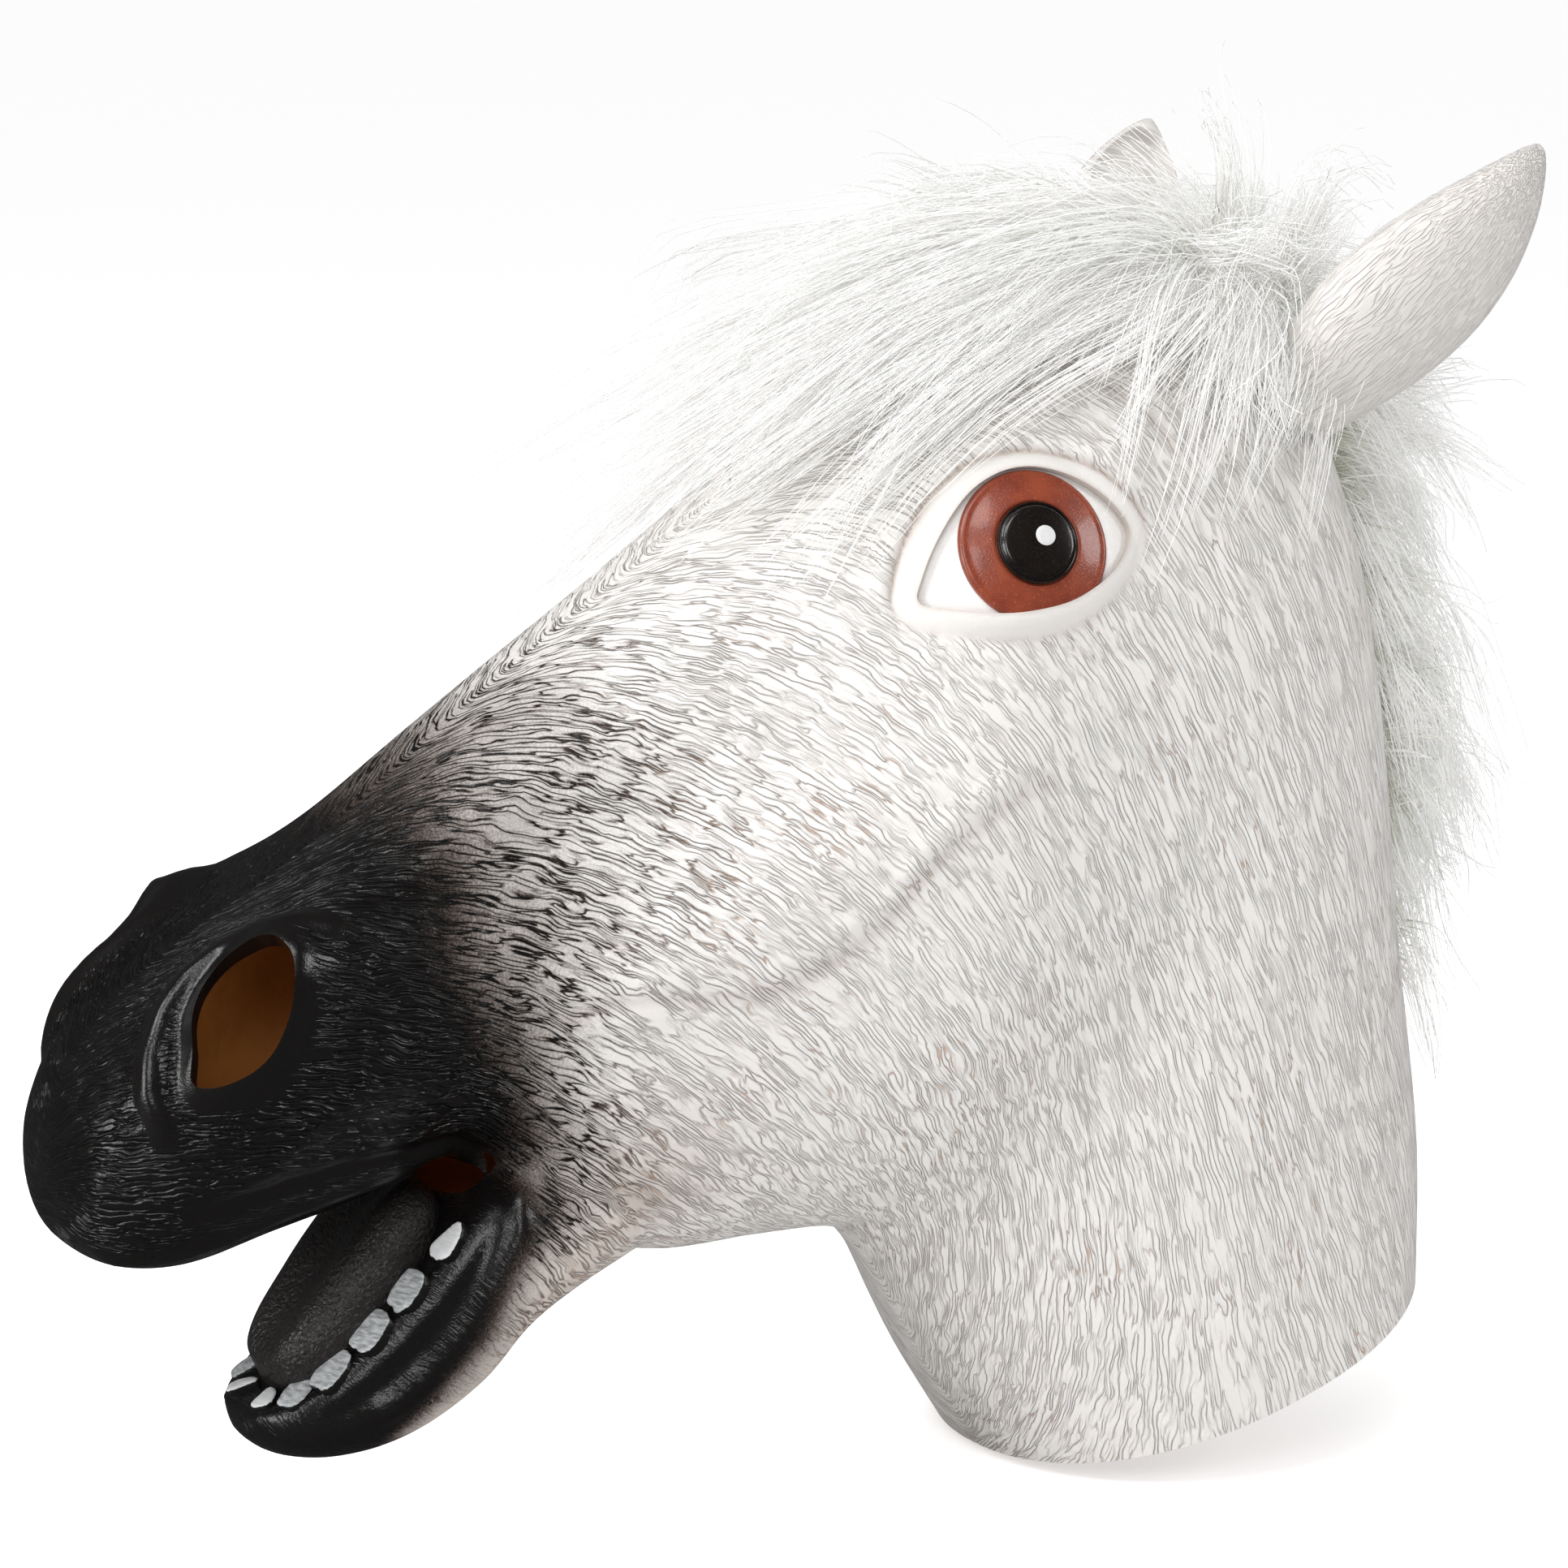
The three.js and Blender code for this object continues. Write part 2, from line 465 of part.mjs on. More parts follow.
function earFrame() {
  const opens = EAR_OPENS.clone().addScaledVector(EAR_AXIS, -EAR_OPENS.dot(EAR_AXIS)).normalize();
  const across = opens.clone().cross(EAR_AXIS);
  const root = new THREE.Vector3(EAR_ROOT.x * HEAD_WIDTH, EAR_ROOT.y * MASK_LENGTH, EAR_ROOT.z * MASK_DROP);
  return new THREE.Matrix4().makeBasis(across, opens, EAR_AXIS).setPosition(root);
}

// The outer form of an ear, grown by a distance
function earForm(grow) {
  const rings = EAR_SECTIONS.map((row) =>
    round(14).map((degrees) => {
      const a = THREE.MathUtils.degToRad(degrees);
      const across = ((row.width * EAR_WIDTH) / 2 + grow) * Math.cos(a);
      const open = ((row.depth * EAR_DEPTH) / 2 + grow) * Math.sin(a) + row.lean * EAR_DEPTH;
      return new THREE.Vector3(across, open, row.along * EAR_LENGTH);
    }),
  );
  return solid(loft(rings).applyMatrix4(earFrame()));
}

// The cup of an ear: rounded at the back and open at the front
function earCup() {
  const rings = range(0.12, 0.93, 7).map((along) => {
    const row = (column) => earValue(column, along);
    const half = (row("width") * EAR_WIDTH) / 2 - EAR_WALL;
    const depth = (row("depth") * EAR_DEPTH) / 2 - EAR_WALL;
    const lean = row("lean") * EAR_DEPTH;
    return round(12).map((degrees) => {
      const a = THREE.MathUtils.degToRad(degrees);
      const open = Math.sin(a) > 0 ? EAR_DEPTH * Math.sqrt(Math.sin(a)) : Math.max(depth, 0.6) * Math.sin(a);
      return new THREE.Vector3(Math.max(half, 0.6) * Math.cos(a), open + lean, along * EAR_LENGTH);
    });
  });
  return solid(loft(rings).applyMatrix4(earFrame()));
}

function earValue(column, along) {
  const i = EAR_SECTIONS.findIndex((row, k) => k > 0 && row.along >= along);
  const [a, b] = [EAR_SECTIONS[i - 1], EAR_SECTIONS[i]];
  return blend(a[column], b[column], (along - a.along) / (b.along - a.along));
}

// The tongue, lying on the floor of the jaw
function tongueForm() {
  const rings = TONGUE_SECTIONS.map((row) => {
    const { normal } = tangents(JAW, row.at, 0);
    const centre = skin(JAW, row.at, 0, TONGUE_HEIGHT * 0.15);
    return round(12).map((degrees) => {
      const a = THREE.MathUtils.degToRad(degrees);
      const out = ((row.width * TONGUE_WIDTH) / 2) * Math.sin(a);
      const groove = Math.cos(a) > 0 ? TONGUE_HOLLOW * row.height * Math.exp(-((out / (TONGUE_WIDTH / 6)) ** 2)) : 0;
      const up = ((row.height * TONGUE_HEIGHT) / 2) * Math.cos(a) - groove;
      return centre.clone().addScaledVector(normal, up).add(new THREE.Vector3(out, 0, 0));
    });
  });
  return solid(loft(rings));
}

function toothForm(place, grow = 0) {
  const tooth = new THREE.SphereGeometry(1, 6, 4);
  const position = tooth.attributes.position;
  const square = (value) => Math.sign(value) * Math.abs(value) ** 0.55;
  for (let i = 0; i < position.count; i++)
    position.setXYZ(i, square(position.getX(i)), square(position.getY(i)), square(position.getZ(i)));
  tooth.scale(TOOTH_LENGTH / 2 + grow, TOOTH_WIDTH / 2 + grow, TOOTH_HEIGHT + grow);
  return solid(tooth.applyMatrix4(seat(JAW, place, place.turn)));
}

// A lock of fur: a tapered tube that rises from the backing and falls along the skin
function lock(row, height) {
  const points = range(0, 1, 5).map((f) => {
    const arch = row.lift * Math.sin((Math.PI / 2) * Math.min(1, f * 1.8));
    const out = FUR_BACKING + height * blend(arch, row.tip, f ** 2) * (f > 0 ? 1 : 0);
    return skin(HEAD, blend(row.from, row.to, f), blend(row.fromAngle, row.toAngle, f), out);
  });
  const thickness = (f) => (row.width * LOCK_WIDTH * (0.3 + 0.7 * Math.sin(Math.PI * f)) * (1 - f * f) + 0.8) / 2;
  return tube(points, LOCK_SIDES, thickness);
}

function fur(patch, locks, height) {
  const angles = range(-patch.angle, patch.angle, 3);
  const ring = (at) => [
    ...angles.map((angle) => skin(HEAD, at, angle, PIECE_GAP + FUR_BACKING)),
    ...angles.toReversed().map((angle) => skin(HEAD, at, angle, -FUR_BACKING)),
  ];
  const backing = solid(loft(range(patch.from, patch.to, 4).map(ring)));
  return union([backing, ...locks.map((row) => lock(row, height))]);
}

const material = (color, roughness) => new THREE.MeshStandardMaterial({ color, roughness, flatShading: true });
const LATEX = material(0xece9e2, 0.5);
const EAR_LATEX = material(0xe6e1da, 0.5);
const BLACK_LATEX = material(0x1b1a19, 0.25);
const EYE_WHITE = material(0xdedbd5, 0.35);
const IRIS_BROWN = material(0x8a3d22, 0.3);
const PUPIL_BLACK = material(0x15120f, 0.15);
const TOOTH_SILVER = material(0xb4b4b2, 0.35);
const FUR_WHITE = material(0xf1f0ec, 0.9);

function piece(name, geometry, finish) {
  const mesh = new THREE.Mesh(geometry, finish);
  mesh.name = name;
  return mesh;
}

const mask = new THREE.Group();
mask.name = "horse_mask";
const head = latexHead();
const clear = bodySolid(HEAD, HEAD_STEPS, HEAD_SIDES, PIECE_GAP).add(bodySolid(JAW, JAW_STEPS, JAW_SIDES, PIECE_GAP));
mask.add(piece("latex_head", toGeometry(head), LATEX));

const ear = earForm(0).subtract(earCup());
mask.add(piece("ear_left", toGeometry(ear.subtract(clear)), EAR_LATEX));
mask.add(piece("ear_right", toGeometry(mirrored(ear).subtract(clear)), EAR_LATEX));

for (const [name, made, finish] of [
  ["eye", eyeDome(0), EYE_WHITE],
  ["iris", irisDisc(), IRIS_BROWN],
  ["pupil", pupilDisc(), PUPIL_BLACK],
]) {
  mask.add(piece(`${name}_left`, toGeometry(made), finish));
  mask.add(piece(`${name}_right`, toGeometry(mirrored(made)), finish));
}

const teethClear = bothSides(union(TOOTH_PLACES.map((place) => toothForm(place, PIECE_GAP))));
const tongue = tongueForm().subtract(clear).subtract(teethClear);
mask.add(piece("tongue", toGeometry(tongue), BLACK_LATEX));
TOOTH_PLACES.forEach((place, i) => {
  const ahead = i > 0 ? toothForm(TOOTH_PLACES[i - 1], PIECE_GAP) : mirrored(toothForm(place, PIECE_GAP));
  const tooth = toothForm(place).subtract(ahead);
  mask.add(piece(`tooth_left_${i + 1}`, toGeometry(tooth.subtract(clear)), TOOTH_SILVER));
  mask.add(piece(`tooth_right_${i + 1}`, toGeometry(mirrored(tooth).subtract(clear)), TOOTH_SILVER));
});

const ears = bothSides(earForm(PIECE_GAP));
const forelock = fur(FORELOCK_PATCH, FORELOCK_LOCKS, FORELOCK_HEIGHT).subtract(clear).subtract(ears);
const mane = fur(MANE_PATCH, MANE_LOCKS, MANE_HEIGHT).subtract(clear).subtract(ears);
mask.add(piece("forelock", toGeometry(forelock), FUR_WHITE));
mask.add(piece("mane", toGeometry(mane), FUR_WHITE));

export default mask;
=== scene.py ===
# A horse mask: hollow cast latex with painted eyes, mouth and muzzle, and pile fur at the brow and nape.
import math
from functools import partial

import bpy
import numpy as np
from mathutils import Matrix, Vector
from mathutils.kdtree import KDTree


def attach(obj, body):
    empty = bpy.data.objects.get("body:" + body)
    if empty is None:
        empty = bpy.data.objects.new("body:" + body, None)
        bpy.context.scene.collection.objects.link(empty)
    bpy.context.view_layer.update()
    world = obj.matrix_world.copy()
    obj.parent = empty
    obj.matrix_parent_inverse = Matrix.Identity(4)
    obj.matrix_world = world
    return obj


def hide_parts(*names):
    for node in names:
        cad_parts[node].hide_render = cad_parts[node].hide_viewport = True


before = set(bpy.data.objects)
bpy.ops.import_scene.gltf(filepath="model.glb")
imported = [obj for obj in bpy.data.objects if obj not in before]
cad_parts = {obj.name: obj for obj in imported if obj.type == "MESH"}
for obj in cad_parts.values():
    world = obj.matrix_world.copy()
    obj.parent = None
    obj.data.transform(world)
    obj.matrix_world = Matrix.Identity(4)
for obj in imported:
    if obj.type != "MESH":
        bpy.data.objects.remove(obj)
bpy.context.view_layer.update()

MM = 0.001

# Real sizes in mm, as in the solids
MASK_LENGTH = 505
MASK_DROP = 400
HEAD_WIDTH = 176
WALL = 2

# Sections of the head from the upper lip to the hem: top y and z, bottom y and z, width, belly,
# and how square the upper and the lower half are
HEAD_SECTIONS = [
    (-0.758, -0.63, -0.759, -0.695, 0.15, 0.5, 2, 2),
    (-0.749, -0.588, -0.751, -0.713, 0.36, 0.5, 2.1, 2.2),
    (-0.72, -0.535, -0.725, -0.735, 0.5, 0.55, 2.3, 2.3),
    (-0.675, -0.49, -0.683, -0.74, 0.61, 0.6, 2.5, 2.3),
    (-0.616, -0.447, -0.626, -0.724, 0.64, 0.6, 2.6, 2.2),
    (-0.554, -0.395, -0.56, -0.705, 0.62, 0.55, 2.6, 2.2),
    (-0.495, -0.34, -0.501, -0.68, 0.61, 0.52, 2.6, 2.2),
    (-0.436, -0.287, -0.436, -0.745, 0.68, 0.5, 2.5, 2.2),
    (-0.356, -0.22, -0.356, -0.78, 0.77, 0.52, 2.4, 2.2),
    (-0.267, -0.145, -0.281, -0.78, 0.88, 0.56, 2.3, 2.2),
    (-0.168, -0.065, -0.23, -0.78, 0.97, 0.58, 2.2, 2.2),
    (-0.063, -0.01, -0.208, -0.785, 1, 0.58, 2.1, 2.2),
    (0.03, 0.008, -0.194, -0.793, 1, 0.56, 2.1, 2.2),
    (0.115, -0.04, -0.184, -0.805, 1, 0.55, 2.1, 2.2),
    (0.17, -0.16, -0.172, -0.825, 1, 0.52, 2.1, 2.2),
    (0.2, -0.33, -0.16, -0.85, 1, 0.5, 2.1, 2.2),
    (0.218, -0.543, -0.145, -0.885, 1, 0.5, 2.1, 2.2),
    (0.236, -0.725, -0.123, -0.933, 1, 0.5, 2.1, 2.2),
    (0.234, -0.852, -0.087, -1, 1, 0.5, 2.1, 2.2),
]

# Swellings of the head: at, angle, long, round, height
HEAD_RELIEF = [
    (0.195, 54, 0.055, 24, 0.075),
    (0.577, 62, 0.04, 26, 0.025),
    (0.47, 92, 0.12, 8, 0.028),
    (0.4, 68, 0.1, 14, -0.035),
    (0.63, 50, 0.05, 12, 0.03),
    (0.6, 122, 0.1, 24, 0.045),
    (0.77, 118, 0.05, 30, -0.03),
]

# Sections of the lower jaw from its lip back into the head
JAW_SECTIONS = [
    (-0.634, -0.873, -0.633, -0.893, 0.1, 0.5, 2, 2),
    (-0.626, -0.865, -0.616, -0.908, 0.26, 0.55, 2.4, 2),
    (-0.606, -0.855, -0.586, -0.915, 0.365, 0.6, 2.8, 2),
    (-0.584, -0.835, -0.547, -0.912, 0.42, 0.65, 3, 2),
    (-0.56, -0.805, -0.511, -0.898, 0.455, 0.68, 3, 2),
    (-0.539, -0.773, -0.473, -0.868, 0.49, 0.68, 3, 2),
    (-0.517, -0.735, -0.446, -0.828, 0.525, 0.65, 3, 2.1),
    (-0.491, -0.693, -0.412, -0.8, 0.555, 0.6, 2.6, 2.1),
    (-0.45, -0.663, -0.364, -0.77, 0.58, 0.6, 2.4, 2.1),
]
JAW_RELIEF = [(0.45, 42, 0.42, 15, 0.028)]

HEAD = (np.array(HEAD_SECTIONS, float), HEAD_RELIEF)
JAW = (np.array(JAW_SECTIONS, float), JAW_RELIEF)


# Surfaces

def between(points, f):
    """A place between the middle two of four points, on a smooth curve through them."""
    a, b, c, d = points
    return b + 0.5 * f * (c - a + f * (2 * a - 5 * b + 4 * c - d + f * (3 * (b - c) + d - a)))


def sample(table, column, at):
    """A column of a table, smoothly between its rows, with at from 0 to 1 over the table."""
    values = table[:, column]
    last = len(values) - 1
    row = np.clip(at, 0, 1) * last
    i = np.minimum(np.floor(row).astype(int), last - 1)
    return between([values[np.clip(i + k, 0, last)] for k in (-1, 0, 1, 2)], row - i)


def outline(body, at, angle):
    """Points of a body's sections before their swellings, in mm."""
    table = body[0]
    at, angle = np.broadcast_arrays(np.asarray(at, float), np.asarray(angle, float))
    top_y, top_z, bottom_y, bottom_z, width, belly, crest, keel = (sample(table, k, at) for k in range(8))
    a = np.radians(angle)
    upper = np.cos(a) >= 0
    power = 2 / np.where(upper, crest, keel)
    out = np.sign(np.sin(a)) * np.abs(np.sin(a)) ** power
    rise = np.sign(np.cos(a)) * np.abs(np.cos(a)) ** power
    up = belly + rise * np.where(upper, 1 - belly, belly)
    y = (bottom_y + (top_y - bottom_y) * up) * MASK_LENGTH
    z = (bottom_z + (top_z - bottom_z) * up) * MASK_DROP
    return np.stack([out * width * HEAD_WIDTH / 2, y, z], -1)


def unit(vectors):
    return vectors / np.maximum(np.linalg.norm(vectors, axis=-1, keepdims=True), 1e-9)


def tangents(body, at, angle):
    """How a body's skin runs along it and round it per unit, and its outward normal."""
    at, angle = np.broadcast_arrays(np.asarray(at, float), np.asarray(angle, float))
    back, front = np.maximum(at - 0.004, 0), np.minimum(at + 0.004, 1)
    along = (outline(body, front, angle) - outline(body, back, angle)) / (front - back)[..., None]
    around = (outline(body, at, angle + 2) - outline(body, at, angle - 2)) / 4
    return along, around, unit(np.cross(around, along))


def swelling(at, angle, place, degrees, long, wide):
    """1 at a place on a body and at its mirror image, and less with the way from there."""
    side = np.abs((angle + 180) % 360 - 180)
    return np.exp(-((at - place) / long) ** 2 - ((side - degrees) / wide) ** 2)


def skin(body, at, angle, out=0.0):
    """Points of a body's skin, or points that stand out from it."""
    at, angle = np.broadcast_arrays(np.asarray(at, float), np.asarray(angle, float))
    height = np.zeros(at.shape) + out
    for *place, swell in body[1]:
        height = height + swell * HEAD_WIDTH * swelling(at, angle, *place)
    return outline(body, at, angle) + tangents(body, at, angle)[2] * height[..., None]


def seat(body, at, angle):
    """Where a piece sits on a body: its place, and axes along, across and out of the skin."""
    along, _, out = tangents(body, at, angle)
    along = unit(along - out * (along @ out))
    return skin(body, at, angle), along, np.cross(out, along), out


def smooth_step(values, low, high):
    t = np.clip((values - low) / (high - low), 0, 1)
    return t * t * (3 - 2 * t)


def hump(gap, half):
    """1 where there is no gap, and less with the gap."""
    return np.exp(-(gap / half) ** 2)


# Meshes

def choose(*objects):
    bpy.ops.object.select_all(action="DESELECT")
    for item in objects:
        item.select_set(True)
    bpy.context.view_layer.objects.active = objects[0]


def read(items, field, kind=float, size=3):
    """An array of one field of a mesh's items."""
    flat = np.empty(len(items) * size, kind)
    items.foreach_get(field, flat)
    return flat.reshape(-1, size)


def read_points(obj):
    return read(obj.data.vertices, "co") / MM


def write_points(obj, points):
    obj.data.vertices.foreach_set("co", (np.asarray(points) * MM).ravel())
    obj.data.update()


def read_normals(obj):
    return read(obj.data.vertex_normals, "vector")


def write_attribute(obj, name, values):
    """Keeps a number or a vector for each point of a mesh."""
    values = np.asarray(values, float)
    kind, field = ("FLOAT_VECTOR", "vector") if values.ndim == 2 else ("FLOAT", "value")
    layer = obj.data.attributes.new(name, kind, "POINT")
    layer.data.foreach_set(field, values.ravel())


def apply(obj, kind, **settings):
    choose(obj)
    modifier = obj.modifiers.new(kind.title(), kind)
    for key, value in settings.items():
        setattr(modifier, key, value)
    bpy.ops.object.modifier_apply(modifier=modifier.name)


def soften(obj, rounds, factor=0.5):
    apply(obj, "SMOOTH", factor=factor, iterations=rounds)


def remesh(obj, voxel, rounds):
    """An even mesh over the whole form, softened a few rounds."""
    apply(obj, "REMESH", mode="VOXEL", voxel_size=voxel * MM, adaptivity=0, use_smooth_shade=True)
    soften(obj, rounds)


def edit(obj, *steps):
    """Runs edit-mode steps on the whole of a mesh."""
    choose(obj)
    bpy.ops.object.mode_set(mode="EDIT")
    bpy.ops.mesh.select_all(action="SELECT")
    for step in steps:
        step()
    bpy.ops.object.mode_set(mode="OBJECT")


def wrap(name, rings):
    """A grid wrapped round rings of points into a closed tube, with its ends filled."""
    count, sides = rings.shape[:2]
    bpy.ops.mesh.primitive_grid_add(x_subdivisions=sides, y_subdivisions=count - 1, size=1)
    obj = bpy.context.object
    obj.name = obj.data.name = name
    flat = read_points(obj) * MM
    across = np.rint((flat[:, 0] + 0.5) * sides).astype(int)
    down = np.rint((flat[:, 1] + 0.5) * (count - 1)).astype(int)
    write_points(obj, rings[down, across % sides])
    edit(
        obj,
        lambda: bpy.ops.mesh.remove_doubles(threshold=1e-7),
        lambda: bpy.ops.mesh.fill_holes(sides=0),
        lambda: bpy.ops.mesh.select_all(action="SELECT"),
        lambda: bpy.ops.mesh.normals_make_consistent(inside=False),
    )
    return obj


def join(name, *objects):
    choose(*objects)
    bpy.ops.object.join()
    obj = bpy.context.object
    obj.name = obj.data.name = name
    return obj


def copy(obj, name):
    twin = obj.copy()
    twin.data = obj.data.copy()
    twin.name = twin.data.name = name
    bpy.context.collection.objects.link(twin)
    return twin


def mirrored(obj):
    """The right-hand twin of a left-hand piece."""
    twin = copy(obj, obj.name.replace("left", "right"))
    write_points(twin, read_points(twin) * (-1, 1, 1))
    edit(twin, lambda: bpy.ops.mesh.flip_normals())
    for layer in twin.data.attributes:
        if layer.data_type == "FLOAT_VECTOR" and layer.name != "position":
            layer.data.foreach_set("vector", (read(layer.data, "vector") * (-1, 1, 1)).ravel())
    return twin


def cut(obj, *tools, operation="DIFFERENCE"):
    for tool in tools:
        apply(obj, "BOOLEAN", operation=operation, object=tool, solver="MANIFOLD")
        bpy.data.objects.remove(tool)


def paint(obj, *finishes):
    obj.data.materials.clear()
    for finish in finishes:
        obj.data.materials.append(finish)


def dress(piece, finish, shade=None, stands_for=None):
    """Gives a finished piece its material, its shading and the CAD node that it stands for."""
    if finish:
        paint(piece, finish)
    if shade:
        choose(piece)
        bpy.ops.object.shade_smooth_by_angle(angle=math.radians(shade))
    if stands_for:
        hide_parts(stands_for)
    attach(piece, "root")


def dress_pair(left, finish, shade, stands_for=None):
    """Adds the right-hand twin of a left-hand piece and dresses both."""
    right = mirrored(left)
    dress(left, finish, shade, stands_for)
    dress(right, finish, shade, stands_for and stands_for.replace("left", "right"))


def line_distance(points, line):
    """Distance of points from a bent line, and the share along it of the nearest place."""
    best = np.full(len(points), 1e9)
    where = np.zeros(len(points))
    for i, (a, b) in enumerate(zip(line[:-1], line[1:])):
        run = b - a
        share = np.clip(((points - a) @ run) / (run @ run), 0, 1)
        gap = np.linalg.norm(points - a - share[:, None] * run, axis=1)
        nearer = gap < best
        best = np.where(nearer, gap, best)
        where = np.where(nearer, (i + share) / (len(line) - 1), where)
    return best, where


def signed_distance(points, polygon):
    """Distance of flat points from a closed outline, negative inside it."""
    inside = np.zeros(len(points), bool)
    for a, b in zip(polygon, np.roll(polygon, -1, axis=0)):
        crosses = (a[1] > points[:, 1]) != (b[1] > points[:, 1])
        rise = b[1] - a[1] or 1e-9
        inside ^= crosses & (points[:, 0] < a[0] + (points[:, 1] - a[1]) / rise * (b[0] - a[0]))
    gap = line_distance(points, np.vstack([polygon, polygon[:1]]))[0]
    return np.where(inside, -gap, gap)


def rounded(corners, count):
    """A closed smooth outline through a few corners."""
    corners = np.asarray(corners, float)
    t = np.arange(count) * len(corners) / count
    i = np.floor(t).astype(int)
    return between([corners[(i + k) % len(corners)] for k in (-1, 0, 1, 2)], (t - i)[:, None])


def ring_angles(count):
    return np.linspace(0, 2 * math.pi, count, endpoint=False)


# Outlines on the skin, in mm along and across from their seats
EYE_PLACE = (0.577, 62)
EYE_SEAT = seat(HEAD, *EYE_PLACE)
EYE_OPENING = rounded([
    (-40.5, -0.5), (-36.5, 7), (-28, 15), (-17, 22), (-7, 25.4), (4, 25.6), (14, 22), (24, 14), (31.5, 4.5),
    (35.5, -6), (33, -11.5), (26, -16.5), (16, -20), (3, -21.5), (-9, -19.6), (-20, -15.6), (-31, -8.6),
], 96)
NOSTRIL_PLACE = (0.165, 52)
NOSTRIL_SEAT = seat(HEAD, *NOSTRIL_PLACE)
NOSTRIL_OPENING = rounded([
    (-19, -13.5), (-13, -6.7), (-7, 2.2), (0.6, 8.8), (11, 12.6), (20.9, 11.3), (26.7, 7.4), (28.7, 0.1),
    (26.9, -6.3), (21.2, -13), (13.5, -17.7), (3.8, -20.7), (-6, -20.9), (-15, -18.4),
], 72)
NOSTRIL_RIDGE = np.array([
    (44, 2.5), (38, 12), (26.2, 18.7), (10.8, 20.3), (-2.4, 18.3), (-14.2, 12.3), (-25.5, 2.5), (-32.7, -7.4),
    (-35.1, -17.7),
])
EYE_RADIUS = 60
EYE_PROUD = 6


def dome_height(radius):
    """Height of the eyeball over its seat."""
    return EYE_PROUD - EYE_RADIUS + np.sqrt(np.maximum(EYE_RADIUS ** 2 - radius ** 2, 0))


def in_seat(place, points):
    """Points in a seat's own axes: along, across, out."""
    return (points - place[0]) @ np.stack(place[1:]).T


def from_seat(place, points):
    return place[0] + np.asarray(points) @ np.stack(place[1:])


def on_left(points):
    """Points with those of the right half mirrored onto the left one."""
    return np.column_stack([np.abs(points[:, 0]), points[:, 1:]])


def prism(name, place, flat, low, high):
    """A straight plug with an outline, on a seat."""
    rings = [np.column_stack([flat, np.full(len(flat), float(h))]) for h in (low, high)]
    return wrap(name, np.stack([from_seat(place, ring) for ring in rings]))


def grown(flat, distance):
    """An outline moved out by a distance."""
    run = np.roll(flat, -1, axis=0) - np.roll(flat, 1, axis=0)
    side = unit(np.column_stack([run[:, 1], -run[:, 0]]))
    area = np.sum(flat[:, 0] * np.roll(flat[:, 1], -1) - flat[:, 1] * np.roll(flat[:, 0], -1))
    return flat + side * distance * np.sign(area)


def skin_line(body, half, height, *places):
    """A line through places on a body's skin, with half its width and its height in mm."""
    at, angle = np.array(places, float).T
    return skin(body, at, angle), half, height


# Lines of the face that are raised on the latex or sunk in it
FACE_LINES = [
    # The facial crest and the folds under it
    skin_line(HEAD, 3.2, 1.9, (0.6, 91), (0.571, 92), (0.546, 93), (0.531, 94.5), (0.521, 97), (0.503, 98),
              (0.481, 98.5), (0.461, 98), (0.436, 96.5)),
    skin_line(HEAD, 2.6, -1.2, (0.6, 94), (0.571, 95), (0.546, 96.5), (0.531, 98), (0.517, 101), (0.5, 102),
              (0.48, 102), (0.455, 101)),
    skin_line(HEAD, 1.7, -1.5, (0.45, 99), (0.436, 98), (0.42, 95.5), (0.403, 94.5), (0.388, 95.5),
              (0.373, 98)),
    # The vein down the cheek
    skin_line(HEAD, 2.8, 1.6, (0.47, 57), (0.466, 60), (0.458, 65), (0.451, 70), (0.443, 76), (0.432, 80),
              (0.426, 84), (0.423, 88), (0.422, 93)),
    # Behind the eye, and the brow over it
    skin_line(HEAD, 2.4, -0.7, (0.66, 79), (0.64, 81), (0.62, 83), (0.6, 84.5)),
    skin_line(HEAD, 2.4, -1.3, (0.6, 26), (0.615, 36), (0.628, 43), (0.64, 49), (0.65, 54)),
    skin_line(HEAD, 4.0, 1.6, (0.61, 22), (0.627, 36), (0.643, 46), (0.655, 52)),
]
# Lines of the lips, which are bare of hairs
LIP_LINES = [
    # The upper lip's edge and the crease over it
    skin_line(HEAD, 4.2, 2.4, (0.07, 160), (0.104, 149), (0.16, 140), (0.215, 141), (0.263, 142), (0.32, 153),
              (0.36, 162)),
    skin_line(HEAD, 3.2, -1.7, (0.15, 120), (0.173, 121), (0.209, 124), (0.243, 127), (0.278, 132),
              (0.324, 147), (0.35, 153), (0.374, 158)),
    # The lower lip's fold, the groove inside it and the edge of the gum
    skin_line(JAW, 3.8, 3.4, (0.93, 46), (0.889, 56), (0.850, 76), (0.781, 88), (0.668, 95), (0.564, 98),
              (0.431, 98), (0.3, 95)),
    skin_line(JAW, 3.6, -1.2, (0.85, 55), (0.78, 66), (0.668, 74), (0.564, 76), (0.431, 76), (0.3, 74),
              (0.22, 72)),
    skin_line(JAW, 1.1, 0.7, (0.79, 56), (0.73, 61), (0.61, 62), (0.49, 61), (0.36, 60), (0.24, 57)),
]


# The latex head
SKIN_VOXEL = 2.85
INSIDE_VOXEL = 5.6
FORM_VOXEL = 5
LID_BAND = 6.5
LID_THICK = 2.9
LID_LEAST = 1.4
# The hole at the back of the mouth: half its width and height, its height's middle, and its ends in y
MOUTH_HOLE = (26, 7, -277, (-262.3, -202.3))
# The hem's front and back in y and z
HEM_FRONT = (-43.9, -400)
HEM_BACK = (118.2, -340.8)


